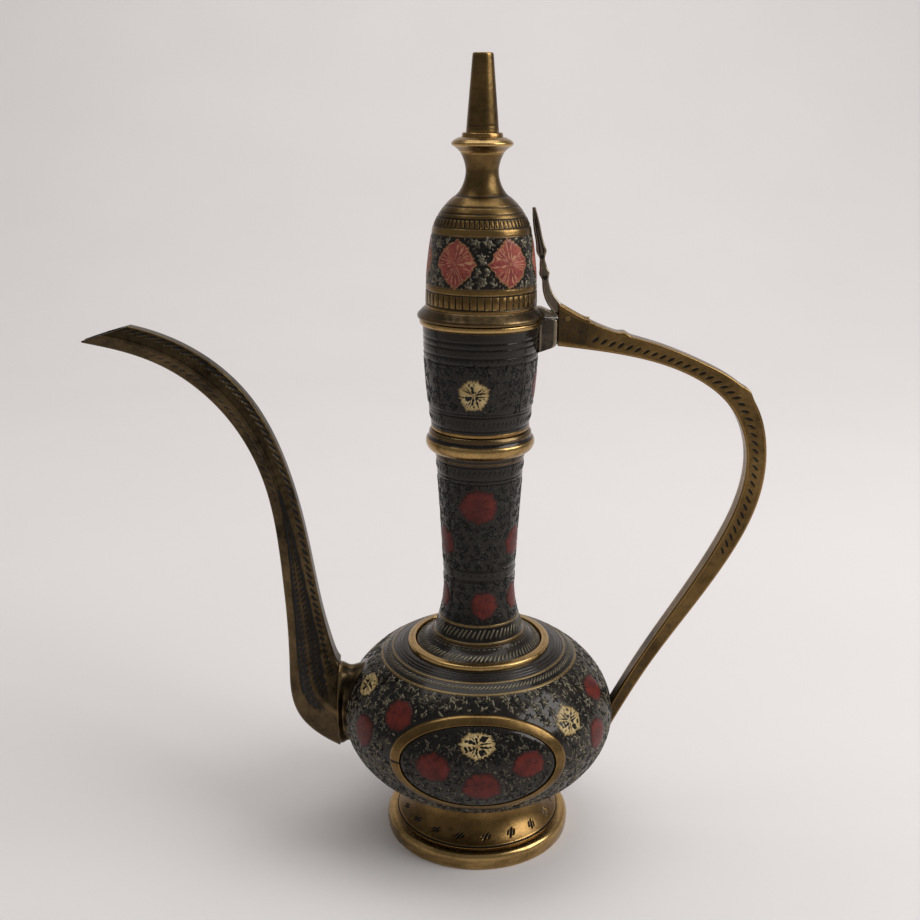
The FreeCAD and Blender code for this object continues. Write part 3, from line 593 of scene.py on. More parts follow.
@dataclass
class Strokes:
    """Many lens-shaped strokes, one entry of each array for each stroke."""

    angle: Array  # angle round the axis
    station: Array
    heading: Array  # direction of the stroke, from the horizontal
    length: Array
    width: Array  # greatest width
    bend: Array  # sideways bend of its middle
    tall: Array  # height over the face
    tone: Array  # 0 for dark to 1 for bright

    @staticmethod
    def of(*parts: Values) -> "Strokes":
        """Strokes from arrays and single values in the order above, brought to one length."""
        return Strokes(*(part.ravel() for part in np.broadcast_arrays(*parts)))

    @staticmethod
    def joined(sets: Sequence["Strokes"]) -> "Strokes":
        """All strokes of several sets."""
        parts = [[getattr(one, part.name) for one in sets] for part in fields(Strokes)]
        return Strokes(*map(np.concatenate, parts))

    def kept(self, keep: Array) -> "Strokes":
        """The strokes that are marked in keep."""
        return Strokes(*(getattr(self, part.name)[keep] for part in fields(Strokes)))

    def places(self, ground: Ground) -> Array:
        """Middles of the strokes on a face, n by 3."""
        return ground.lay(self.angle, self.station, 0.0, 0.0, 0.0)

    def clear_of(self, ground: Ground, patches: Sequence["Patch"]) -> "Strokes":
        """The strokes that lie outside all enamel patches.

        Args:
            ground: Face they lie on.
            patches: Patches to keep clear.

        Returns:
            The strokes left.
        """
        margin = 0.5
        keep = np.ones(len(self.angle), bool)
        for patch in patches:
            sideways = wrapped(self.angle - patch.angle) * ground.girth(self.station)
            up = self.station - ground.at(patch.height)
            reach = patch.reach(np.arctan2(up, sideways))
            keep &= np.hypot(sideways, up) > reach + margin
        return self.kept(keep)

    def skin(self, ground: Ground, rings: int = 3) -> Skin:
        """Surface of all strokes.

        Each is a closed lens of cross-sections at t in (-1, 1) along it, with half width (1 - t^2)^0.7 and
        crest height (1 - t^2)^0.5, bent by 1 - t^2 and drawn to a point at both ends.

        Args:
            ground: Face they lie on.
            rings: Number of cross-sections of one stroke.

        Returns:
            The joined surface, with the marks wear and tone.
        """
        place = np.linspace(-1.0, 1.0, rings + 2)[1:-1]
        full = 1.0 - place**2
        side = np.tile([-1.0, 0.0, 1.0], rings)
        along = np.concatenate([np.repeat(place, 3), [-1.0, 1.0]])
        spread = np.concatenate([np.repeat(full**0.7, 3) * side, [0.0, 0.0]])
        curve = np.concatenate([np.repeat(full, 3), [0.0, 0.0]])
        crest = np.concatenate([np.repeat(full**0.5, 3) * (side == 0.0), [0.0, 0.0]])
        lengthwise = self.length[:, None] / 2.0 * along
        crosswise = self.width[:, None] / 2.0 * spread + self.bend[:, None] * curve
        turn = self.heading[:, None]
        sideways = lengthwise * np.cos(turn) - crosswise * np.sin(turn)
        up = lengthwise * np.sin(turn) + crosswise * np.cos(turn)
        lift = (self.tall[:, None] + SINK) * crest - SINK
        points = ground.lay(self.angle[:, None], self.station[:, None], sideways, up, lift)
        count = len(along)
        start, end = count - 2, count - 1
        quads = []
        for ring in range(rings - 1):
            left, top, right = 3 * ring, 3 * ring + 1, 3 * ring + 2
            quads.append([left, left + 3, top + 3, top])
            quads.append([top, top + 3, right + 3, right])
            quads.append([left, right, right + 3, left + 3])
        left, top, right = 3 * rings - 3, 3 * rings - 2, 3 * rings - 1
        triangles = [[start, 0, 1], [start, 1, 2], [start, 2, 0]]
        triangles += [[left, end, top], [top, end, right], [left, right, end]]
        first = count * np.arange(len(self.angle))[:, None, None]
        wear = np.where(crest > 0.0, 0.6, -0.6)
        marks = {"wear": wear, "tone": self.tone[:, None]}
        return Skin(
            points.reshape(-1, 3),
            (first + np.array(quads)).reshape(-1, 4),
            (first + np.array(triangles)).reshape(-1, 3),
            {name: np.broadcast_to(mark, points.shape[:2]).ravel() for name, mark in marks.items()},
        )


@dataclass(frozen=True)
class Chisel:
    """How the strokes of a band are cut."""

    length: float
    width: float
    tall: float = 0.28  # height over the face
    tone: float = 0.5  # 0 for dark to 1 for bright
    bend: float = 0.0  # sideways bend of a stroke's middle
    spread: float = 0.15  # share by which lengths and tones differ


@dataclass(frozen=True)
class StrokeRing:
    """Ring of slanted strokes round a face."""

    height: float
    count: int
    slant: float  # direction of a stroke from the horizontal, in degrees
    chisel: Chisel

    def strokes(self, ground: Ground, rng: Rng) -> Strokes:
        """Strokes of the ring, evenly spaced but for the small differences of hand work.

        Args:
            ground: Face they lie on.
            rng: Source of the differences.

        Returns:
            The strokes.
        """
        count, chisel = self.count, self.chisel
        stray, sway = 0.06, 0.08
        vary = rng.uniform(-1.0, 1.0, (4, count))
        return Strokes.of(
            np.arange(count) * FULL_TURN / count + stray * vary[0] * FULL_TURN / count,
            ground.at(self.height),
            np.radians(self.slant) + sway * vary[1],
            chisel.length * (1.0 + chisel.spread * vary[2]),
            chisel.width,
            chisel.bend,
            chisel.tall,
            np.clip(chisel.tone + chisel.spread * vary[3], 0.0, 1.0),
        )


@dataclass(frozen=True)
class ScrollField:
    """Field of small leaf scrolls over a face."""

    low: float  # lowest height of the field
    high: float  # highest height
    pitch: float  # spacing of the scrolls
    leaves: int  # number of leaves of one scroll
    chisel: Chisel

    def strokes(self, ground: Ground, rng: Rng) -> Strokes:
        """Strokes of the field.

        Scrolls stand on staggered rows. Leaf k of a scroll lies at radius 0.13 pitch + 0.04 pitch k and at
        angle phase + 1.05 k, and points along the scroll, turned outwards by 35 degrees.

        Args:
            ground: Face they lie on.
            rng: Source of the differences.

        Returns:
            The strokes.
        """
        pitch, chisel, stray = self.pitch, self.chisel, 0.08
        foot, top = ground.at(self.low), ground.at(self.high)
        rows = max(1, int(round((top - foot) / (pitch * 0.87))))
        levels = foot + (np.arange(rows) + 0.5) * (top - foot) / rows
        counts = np.maximum(3, np.round(FULL_TURN * ground.girth(levels) / pitch).astype(int))
        row = np.repeat(np.arange(rows), counts)
        scrolls = len(row)
        place = np.arange(scrolls) - np.repeat(np.cumsum(counts) - counts, counts)
        angle = (place + 0.5 * (row % 2)) * FULL_TURN / counts[row]
        angle = angle + rng.uniform(-stray, stray, scrolls) * pitch / ground.girth(levels[row])
        station = levels[row] + rng.uniform(-stray, stray, scrolls) * pitch
        hand = np.where((row + place) % 2 == 0, 1.0, -1.0)[:, None]
        phase = rng.uniform(0.0, FULL_TURN, scrolls)[:, None]
        leaf = np.arange(self.leaves)[None, :]
        turn = phase + hand * 1.05 * leaf
        reach = pitch * (0.13 + 0.04 * leaf)
        stations = station[:, None] + reach * np.sin(turn)
        vary = rng.uniform(-1.0, 1.0, (3, scrolls, self.leaves))
        return Strokes.of(
            angle[:, None] + reach * np.cos(turn) / ground.girth(stations),
            stations,
            turn + hand * (np.pi / 2.0 - 0.6),
            chisel.length * (0.75 + 0.5 * leaf / self.leaves) * (1.0 + chisel.spread * vary[0]),
            chisel.width * (1.0 + chisel.spread * vary[1]),
            hand * chisel.bend,
            chisel.tall,
            np.clip(chisel.tone + 2.0 * chisel.spread * vary[2], 0.0, 1.0),
        )


@dataclass(frozen=True)
class Petals:
    """Ring of lens-shaped petals drawn on an enamel patch."""

    count: int
    low: float  # share of the patch's reach at which they start
    high: float  # share at which they end
    width: float  # half width, as a share of their spacing
    strength: float


DRAWINGS = {
    Motif.RED: (Petals(9, 0.15, 0.6, 0.2, 0.42), Petals(17, 0.55, 1.1, 0.16, 0.5)),
    Motif.CREAM: (
        Petals(6, 0.08, 0.4, 0.42, 1.0),
        Petals(10, 0.3, 0.62, 0.36, 1.0),
        Petals(16, 0.56, 0.8, 0.24, 0.8),
        Petals(28, 0.8, 1.2, 0.22, 0.8),
    ),
    Motif.LOZENGE: (
        Petals(14, 0.08, 0.5, 0.2, 0.8),
        Petals(22, 0.4, 0.85, 0.18, 0.85),
        Petals(34, 0.75, 1.1, 0.2, 0.9),
    ),
}
RAGGED = {Motif.RED: 0.024, Motif.CREAM: 0.028, Motif.LOZENGE: 0.014}
LOBES = np.array([3.0, 5.0, 8.0, 13.0, 21.0, 34.0])
CROWN = 0.22  # height of a patch's middle over its face


@dataclass(frozen=True)
class Patch:
    """Enamel patch on a face."""

    degrees: float  # angle of its middle round the axis
    height: float  # height of its middle
    half: Pair  # half width and half height on the face
    motif: Motif

    @property
    def angle(self) -> float:
        """Angle of its middle in radians."""
        return float(np.radians(self.degrees))

    def mirrored(self) -> "Patch":
        """The same patch on the back of the pot."""
        return replace(self, degrees=180.0 - self.degrees)

    def reach(self, turn: Array) -> Array:
        """Distance of its edge from its middle.

        The lozenge is a superellipse of power 1.35 and a flower an ellipse. Both are made ragged by waves
        of 3 to 34 lobes, with phases that follow from the patch's place.

        Args:
            turn: Directions from the middle.

        Returns:
            Distances.
        """
        power = 1.35 if self.motif is Motif.LOZENGE else 2.0
        wide, tall = self.half
        share = np.abs(np.cos(turn) / wide) ** power + np.abs(np.sin(turn) / tall) ** power
        waves = np.cos(LOBES * (turn[..., None] + self.degrees + 1.7 * self.height))
        return share ** (-1.0 / power) * (1.0 + RAGGED[self.motif] * waves.sum(axis=-1))

    def ink(self, share: Array, turn: Array) -> Array:
        """Drawing on the patch: rings of petals whose half width falls as 1 - u^2 along them.

        Args:
            share: Distance from the middle as a share of the reach.
            turn: Directions from the middle.

        Returns:
            0 on the plain enamel to 1 in the strongest lines.
        """
        drawn = 0.8 * bell(share, 0.07)
        wobble = 0.25 * np.sin(3.0 * turn + self.degrees) + 0.1 * np.sin(7.0 * turn + self.height)
        for petals in DRAWINGS[self.motif]:
            place = np.abs(((turn + wobble) * petals.count / FULL_TURN) % 1.0 - 0.5)
            run = (share - (petals.low + petals.high) / 2.0) / ((petals.high - petals.low) / 2.0)
            limit = petals.width * np.clip(1.0 - run**2, 0.0, None)
            drawn = np.maximum(drawn, petals.strength * smooth(0.0, 0.08, limit - place))
        return drawn

    def skin(self, ground: Ground) -> Skin:
        """Surface of the patch.

        Rows run from the edge to the middle; the height over the face is CROWN (1 - s^6) less 0.1 for the
        drawing, and falls below the face at the edge. The underside is closed to one point.

        Args:
            ground: Face it lies on.

        Returns:
            The closed surface, with the marks ink and wear.
        """
        rings, spokes = 16, 120
        turn = round_steps(spokes)
        share = np.linspace(1.0, 1.0 / rings, rings)[:, None]
        reach = self.reach(turn) * share
        ink = self.ink(share, turn)
        lift = CROWN * (1.0 - share**6) - SINK * share**14 - 0.1 * ink * (share < 0.99)
        station = ground.at(self.height)
        points = ground.lay(self.angle, station, reach * np.cos(turn), reach * np.sin(turn), lift)
        ends = ground.lay(self.angle, station, 0.0, 0.0, np.array([-0.3, CROWN]))
        return capped_skin(points, *ends, ink=ink, wear=np.zeros_like(ink) + share - 0.5)


def fringe(ground: Ground, patches: Sequence[Patch], chisel: Chisel, rng: Rng) -> Strokes:
    """Short strokes that stand round enamel patches like rays.

    Args:
        ground: Face they lie on.
        patches: Patches they surround.
        chisel: How they are cut.
        rng: Source of the differences.

    Returns:
        The strokes.
    """
    sets = []
    for patch in patches:
        count = int(2.1 * sum(patch.half))
        turn = np.arange(count) * FULL_TURN / count
        reach = patch.reach(turn) + chisel.length * 0.55
        station = ground.at(patch.height) + reach * np.sin(turn)
        angle = patch.angle + reach * np.cos(turn) / ground.girth(station)
        tone = np.clip(chisel.tone + chisel.spread * rng.uniform(-1.0, 1.0, count), 0.0, 1.0)
        heading = turn + rng.uniform(-0.3, 0.3, count)
        shape = (chisel.length, chisel.width, chisel.bend, chisel.tall)
        sets.append(Strokes.of(angle, station, heading, *shape, tone))
    return Strokes.joined(sets)


@dataclass(frozen=True)
class Engraving:
    """Engraving of one face."""

    scrolls: Sequence[ScrollField]
    rays: Chisel  # how the rays round enamel patches are cut
    rings: Sequence[StrokeRing] = ()  # rings of slanted strokes

    def strokes(self, ground: Ground, patches: Sequence[Patch], rng: Rng) -> Strokes:
        """Scrolls that keep clear of the patches, the rings, and rays round the patches.

        Args:
            ground: Face they lie on.
            patches: Enamel patches on that face.
            rng: Source of the differences.

        Returns:
            The strokes.
        """
        scrolls = Strokes.joined([scroll.strokes(ground, rng) for scroll in self.scrolls])
        rings = [ring.strokes(ground, rng) for ring in self.rings]
        rays = fringe(ground, patches, self.rays, rng)
        return Strokes.joined([scrolls.clear_of(ground, patches), *rings, rays])


def tick_pads(ground: Ground, height: float, count: int, half: Pair) -> Skin:
    """Ring of small raised pads with bevelled edges.

    Args:
        ground: Face they lie on.
        height: Height of the ring.
        count: Number of pads.
        half: Half width and half height of a pad.

    Returns:
        The joined surface, with the marks wear and tone.
    """
    tall, drop, bevel = 0.05, 0.12, 0.16
    sign = np.array([[-1.0, -1.0], [1.0, -1.0], [1.0, 1.0], [-1.0, 1.0]])
    outer = sign * np.array(half)
    inner = sign * (np.array(half) - bevel)
    flat = np.concatenate([outer, outer, inner])
    lift = np.repeat([-SINK, tall - drop, tall], 4)
    angle = (np.arange(count) * FULL_TURN / count)[:, None]
    points = ground.lay(angle, ground.at(height), flat[:, 0], flat[:, 1], lift)
    sides = [[k, (k + 1) % 4, (k + 1) % 4 + 4, k + 4] for k in range(4)]
    bevels = [[k + 4, (k + 1) % 4 + 4, (k + 1) % 4 + 8, k + 8] for k in range(4)]
    faces = np.array(sides + bevels + [[8, 9, 10, 11], [3, 2, 1, 0]])
    first = 12 * np.arange(count)[:, None, None]
    wear = np.tile(np.repeat([-0.8, 0.5, 0.1], 4), count)
    return Skin(
        points.reshape(-1, 3),
        (first + faces).reshape(-1, 4),
        marks={"wear": wear, "tone": np.full(len(wear), 0.6)},
    )


# Finishes


class Graph:
    """Wires the nodes of one procedural material."""

    def __init__(self, name: str) -> None:
        """Starts a material with one surface shader.

        Args:
            name: Name of the material.
        """
        self.result = bpy.data.materials.new(name)
        self.result.use_nodes = True
        self.tree = self.result.node_tree
        self.shader = self.tree.nodes["Principled BSDF"]
        self.place = self.node("ShaderNodeTexCoord", {}).outputs["Object"]

    def node(self, kind: str, inputs: dict, **settings: object) -> bpy.types.Node:
        """Adds a node.

        Args:
            kind: Type of the node.
            inputs: Sockets or values for its inputs.
            settings: Other settings of the node.

        Returns:
            The node.
        """
        node = self.tree.nodes.new(kind)
        for key, value in settings.items():
            setattr(node, key, value)
        for key, value in inputs.items():
            self.feed(node.inputs[key], value)
        return node

    def feed(self, socket: Socket, value: object) -> None:
        """Links another socket into a socket, or sets its value.

        Args:
            socket: Input to feed.
            value: Output to link, or a plain value.
        """
        if isinstance(value, Socket):
            self.tree.links.new(value, socket)
        else:
            socket.default_value = value

    def noise(self, scale: float, detail: float, vector: object = None) -> Socket:
        """Cloudy noise over the piece, with a number of waves for each metre."""
        inputs = {"Vector": vector or self.place, "Scale": scale, "Detail": detail}
        return self.node("ShaderNodeTexNoise", inputs).outputs["Fac"]

    def rings(self, scale: float) -> Socket:
        """Noise that changes only with height and distance from the axis, like marks of turning.

        Args:
            scale: Waves for each metre.

        Returns:
            The noise.
        """
        x, y, z = self.node("ShaderNodeSeparateXYZ", {0: self.place}).outputs
        radius = self.node("ShaderNodeMath", {0: self.total((x, x), (y, y))}, operation="SQRT").outputs[0]
        return self.noise(scale, 2.0, self.node("ShaderNodeCombineXYZ", {0: radius, 2: z}).outputs[0])

    def mark(self, name: str) -> Socket:
        """Named value of the vertices."""
        return self.node("ShaderNodeAttribute", {}, attribute_name=name).outputs["Fac"]

    def total(self, *terms: tuple[object, object]) -> Socket:
        """Sum of products.

        Args:
            terms: Values and their weights.

        Returns:
            The sum of each value times its weight.
        """
        result = 0.0
        for value, weight in terms:
            inputs = {0: value, 1: weight, 2: result}
            result = self.node("ShaderNodeMath", inputs, operation="MULTIPLY_ADD").outputs[0]
        return result

    def larger(self, first: object, second: object) -> Socket:
        """The larger of two values."""
        return self.node("ShaderNodeMath", {0: first, 1: second}, operation="MAXIMUM").outputs[0]

    def span(self, value: object, low: float, high: float, start: float = 0.0, end: float = 1.0) -> Socket:
        """Value mapped from low to high onto start to end, and held there."""
        inputs = {"Value": value, "From Min": low, "From Max": high, "To Min": start, "To Max": end}
        return self.node("ShaderNodeMapRange", inputs).outputs["Result"]

    def blend(self, share: object, first: object, second: object) -> Socket:
        """Colour between two colours."""
        return self.node("ShaderNodeMix", {0: share, 6: first, 7: second}, data_type="RGBA").outputs[2]

    def bump(self, height: object, strength: float, distance: float) -> Socket:
        """Normal of a surface with small unevenness."""
        inputs = {"Height": height, "Strength": strength, "Distance": distance * MM}
        return self.node("ShaderNodeBump", inputs).outputs["Normal"]

    def set(self, **inputs: object) -> None:
        """Feeds inputs of the surface shader, with underscores for spaces in their names."""
        for key, value in inputs.items():
            self.feed(self.shader.inputs[key.replace("_", " ")], value)


@dataclass(frozen=True)
class Finish:
    """Finish of a surface."""

    name: str  # name of its material

    def material(self) -> bpy.types.Material:
        """The finish's material.

        Returns:
            The material, made when it is first asked for.
        """
        found = bpy.data.materials.get(self.name)
        if found is None:
            graph = Graph(self.name)
            self.wire(graph)
            found = graph.result
        return found

    def wire(self, graph: Graph) -> None:
        """Wires the finish into a material."""
        raise NotImplementedError


@dataclass(frozen=True)
class AgedBrass(Finish):
    """Brass with brown patina in its hollows, rubbed metal on its edges and painted shade where the wear
    mark is lowered for it.
    """

    dull: Colour  # colour of the patina
    rubbed: Colour  # colour of bare metal
    # The grime colour also paints the shade that the wear mark carries on the handle and the thumbpiece.
    grime: Colour  # colour of the dirt in hollows
    rough: Pair  # roughness from the rubbed to the dull metal
    bias: float = 0.0  # shift towards the rubbed metal
    turning: float = 0.0  # strength of turning marks

    def wire(self, graph: Graph) -> None:
        """Wires patina, rubbed edges, dirt with painted shade, and fine unevenness.

        Args:
            graph: Material to wire.
        """
        wear = graph.mark("wear")
        broad, cloud = graph.noise(28.0, 3.0), graph.noise(95.0, 5.0)
        fine, pits = graph.noise(520.0, 5.0), graph.noise(1900.0, 3.0)
        marks, ridges = [], []
        if self.turning:
            marks = [(graph.rings(900.0), self.turning)]
            ridges = [(graph.rings(1500.0), 1.6 * self.turning)]
        worn = graph.total((wear, 0.6), (broad, 0.7), (cloud, 0.9), (fine, 0.6), *marks)
        rub = graph.span(worn, 0.85 - self.bias, 1.6 - self.bias)
        metal = graph.blend(rub, self.dull, self.rubbed)
        # Grime where the wear mark is low: dirt in hollows, and painted shade on the handle's lower end and
        # the thumbpiece's necks.
        dirt = graph.span(graph.total((wear, -0.9), (fine, 1.0)), 0.6, 1.05)
        dirt_and_shade = graph.larger(dirt, graph.span(pits, 0.62, 0.7, 0.0, 0.55))
        shine = graph.total((rub, 1.0), (dirt_and_shade, -0.7))
        graph.set(
            Base_Color=graph.blend(dirt_and_shade, metal, self.grime),
            Metallic=graph.span(dirt_and_shade, 0.0, 1.0, 1.0, 0.2),
            Roughness=graph.span(shine, -0.4, 1.0, self.rough[1], self.rough[0]),
            Normal=graph.bump(graph.total((pits, 0.5), (fine, 1.0), *ridges), 0.4, 0.12),
            Specular_IOR_Level=0.3,
        )


@dataclass(frozen=True)
class Lacquer(Finish):
    """Black lacquer that has worn through to brass on its edges."""

    deep: Colour  # colour of the lacquer
    faded: Colour  # colour where it is thin and dusty
    brass: Colour  # colour of brass that shows through
    rough: Pair  # least and greatest roughness

    def wire(self, graph: Graph) -> None:
        """Wires lacquer, thin places, brass on worn edges and fine unevenness.

        Args:
            graph: Material to wire.
        """
        wear = graph.mark("wear")
        cloud, fine, pits = graph.noise(70.0, 5.0), graph.noise(520.0, 5.0), graph.noise(2200.0, 3.0)
        thin = graph.span(graph.total((cloud, 1.0), (fine, 0.6)), 0.6, 1.05)
        film = graph.blend(thin, self.deep, self.faded)
        bare = graph.span(graph.total((wear, 0.9), (fine, 0.8)), 0.75, 1.25)
        shown = graph.larger(bare, graph.span(pits, 0.68, 0.74, 0.0, 0.6))
        graph.set(
            Base_Color=graph.blend(shown, film, self.brass),
            Metallic=graph.span(shown, 0.0, 1.0, 0.0, 0.9),
            Roughness=graph.span(graph.total((fine, 1.0), (thin, 1.0)), 0.5, 1.5, *self.rough),
            Normal=graph.bump(graph.total((fine, 1.0), (pits, 0.4)), 0.35, 0.14),
            Specular_IOR_Level=0.16,
            Specular_Tint=(1.0, 0.86, 0.74, 1.0),
            Coat_Weight=0.36,
            Coat_Roughness=0.09,
            Coat_Tint=(1.0, 0.93, 0.86, 1.0),
        )


@dataclass(frozen=True)
class Inlay(Finish):
    """Engraved metal between black lacquer, from darkened to bright."""

    dark: Colour  # colour of darkened strokes
    bright: Colour  # colour of bright strokes
    gap: Colour  # colour of the lacquer at their edges

    def wire(self, graph: Graph) -> None:
        """Wires stroke tones, dark edges and rubbed crests.

        Args:
            graph: Material to wire.
        """
        wear, tone = graph.mark("wear"), graph.mark("tone")
        cloud, fine = graph.noise(90.0, 4.0), graph.noise(900.0, 4.0)
        level = graph.total((tone, 1.1), (cloud, 0.6), (fine, 0.4))
        metal = graph.blend(graph.span(level, 0.6, 1.5), self.dark, self.bright)
        edge = graph.span(graph.total((wear, 1.0), (fine, 0.4)), -0.02, -0.42)
        graph.set(
            Base_Color=graph.blend(edge, metal, self.gap),
            Metallic=graph.span(edge, 0.0, 1.0, 0.6, 0.0),
            Roughness=graph.span(fine, 0.3, 0.7, 0.2, 0.4),
            Normal=graph.bump(fine, 0.3, 0.06),
            Specular_IOR_Level=0.45,
        )


@dataclass(frozen=True)
class Enamel(Finish):
    """Coloured enamel with a drawing and an edge of another colour."""

    body: Colour  # main colour
    pale: Colour  # colour of its lighter places
    line: Colour  # colour of the drawing
    rim: Colour  # colour of the edge

    def wire(self, graph: Graph) -> None:
        """Wires uneven colour, the edge, drawn lines and a waxy face.

        Args:
            graph: Material to wire.
        """
        ink, edge = graph.mark("ink"), graph.mark("wear")
        cloud, fine, pits = graph.noise(240.0, 5.0), graph.noise(1100.0, 4.0), graph.noise(2600.0, 2.0)
        light = graph.span(graph.total((cloud, 1.0), (fine, 0.5)), 0.55, 1.0)
        colour = graph.blend(light, self.body, self.pale)
        border = graph.span(graph.total((edge, 1.0), (fine, 0.4)), 0.46, 0.66)
        colour = graph.blend(border, colour, self.rim)
        drawn = graph.span(graph.total((ink, 1.0), (fine, 0.5)), 0.45, 0.95)
        marked = graph.larger(drawn, graph.span(pits, 0.64, 0.72, 0.0, 0.6))
        graph.set(
            Base_Color=graph.blend(marked, colour, self.line),
            Roughness=graph.span(fine, 0.3, 0.7, 0.34, 0.6),
            Normal=graph.bump(graph.total((fine, 1.0), (cloud, 1.0)), 0.4, 0.1),
            Specular_IOR_Level=0.1,
            Coat_Weight=0.2,
            Coat_Roughness=0.12,
        )


@dataclass(frozen=True)
class Paper(Finish):
    """Matt pale backdrop."""

    pale: Colour
    shade: Colour  # colour of its slightly darker clouds

    def wire(self, graph: Graph) -> None:
        """Wires faint clouds and a fine tooth.

        Args:
            graph: Material to wire.
        """
        cloud, tooth = graph.noise(5.0, 3.0), graph.noise(900.0, 3.0)
        graph.set(
            Base_Color=graph.blend(graph.span(cloud, 0.3, 0.7), self.pale, self.shade),
            Roughness=graph.span(tooth, 0.3, 0.7, 0.8, 0.9),
            Normal=graph.bump(tooth, 0.15, 0.1),
        )


# GRIME is also the colour of the painted shade on the handle's lower end.
GRIME = (0.004, 0.003, 0.002, 1)
SOOT = (0.003, 0.0024, 0.0018, 1)
GAP = (0.003, 0.0027, 0.0024, 1)

ANTIQUE = AgedBrass(
    "aged_brass", (0.055, 0.032, 0.0115, 1), (0.31, 0.185, 0.066, 1), GRIME, (0.24, 0.42), 0.1
)
WORN = AgedBrass(
    "worn_brass", (0.045, 0.028, 0.011, 1), (0.25, 0.153, 0.056, 1), GRIME, (0.24, 0.42), 0.05, 0.15
)
DARK_CAST = AgedBrass(
    "dark_cast_brass", (0.022, 0.0155, 0.009, 1), (0.17, 0.115, 0.055, 1), SOOT, (0.26, 0.42)
)
# Its dark colour also paints the shade in the thumbpiece's narrow necks.
GREY_CAST = AgedBrass(
    "rubbed_cast_brass",
    (0.03, 0.023, 0.0165, 1),
    (0.29, 0.235, 0.17, 1),
    (0.004, 0.0033, 0.0026, 1),
    (0.24, 0.4),
    0.1,
)
DARK_BAND = AgedBrass(
    "darkened_band", (0.014, 0.0095, 0.0055, 1), (0.17, 0.112, 0.052, 1), SOOT, (0.24, 0.4), -0.1
)
BAND = AgedBrass(
    "turned_band", (0.065, 0.039, 0.0135, 1), (0.45, 0.292, 0.115, 1), GRIME, (0.22, 0.38), 0.12, 0.25
)
INNER = AgedBrass(
    "inner_brass",
    (0.09, 0.06, 0.024, 1),
    (0.27, 0.18, 0.07, 1),
    (0.02, 0.014, 0.008, 1),
    (0.35, 0.5),
    turning=0.3,
)
BLACK = Lacquer(
    "black_lacquer",
    (0.0042, 0.0037, 0.0033, 1),
    (0.011, 0.0097, 0.0084, 1),
    (0.09, 0.056, 0.024, 1),
    (0.2, 0.36),
)
SCROLL = Inlay("inlay_scroll", (0.009, 0.0085, 0.007, 1), (0.16, 0.138, 0.095, 1), GAP)
FAINT = Inlay("inlay_faint", (0.006, 0.0057, 0.005, 1), (0.036, 0.033, 0.027, 1), GAP)
LINE = Inlay("inlay_line", (0.05, 0.033, 0.013, 1), (0.2, 0.135, 0.055, 1), GAP)
ENAMELS = {
    Motif.RED: Enamel(
        "enamel_red",
        (0.06, 0.01, 0.0075, 1),
        (0.14, 0.02, 0.014, 1),
        (0.025, 0.006, 0.005, 1),
        (0.022, 0.008, 0.006, 1),
    ),
    Motif.CREAM: Enamel(
        "enamel_cream",
        (0.34, 0.235, 0.092, 1),
        (0.6, 0.46, 0.235, 1),
        (0.008, 0.007, 0.006, 1),
        (0.13, 0.088, 0.032, 1),
    ),
    Motif.LOZENGE: Enamel(
        "enamel_salmon",
        (0.14, 0.022, 0.024, 1),
        (0.33, 0.085, 0.06, 1),
        (0.42, 0.21, 0.12, 1),
        (0.22, 0.12, 0.048, 1),
    ),
}
PAPER = Paper("studio_paper", (0.755, 0.717, 0.707, 1), (0.735, 0.699, 0.69, 1))


def make_patches(name: str, ground: Ground, patches: Sequence[Patch], body: Body = Body.POT) -> None:
    """Makes the enamel patches of one face, one object for each kind.

    Args:
        name: First word of the objects' names.
        ground: Face they lie on.
        patches: Patches to make.
        body: Body they move with.
    """
    for motif in Motif:
        skins = [patch.skin(ground) for patch in patches if patch.motif is motif]
        if skins:
            make_piece(f"{name}_{motif.value}_enamel", Skin.joined(skins), ENAMELS[motif], body=body)


# Sub-assemblies


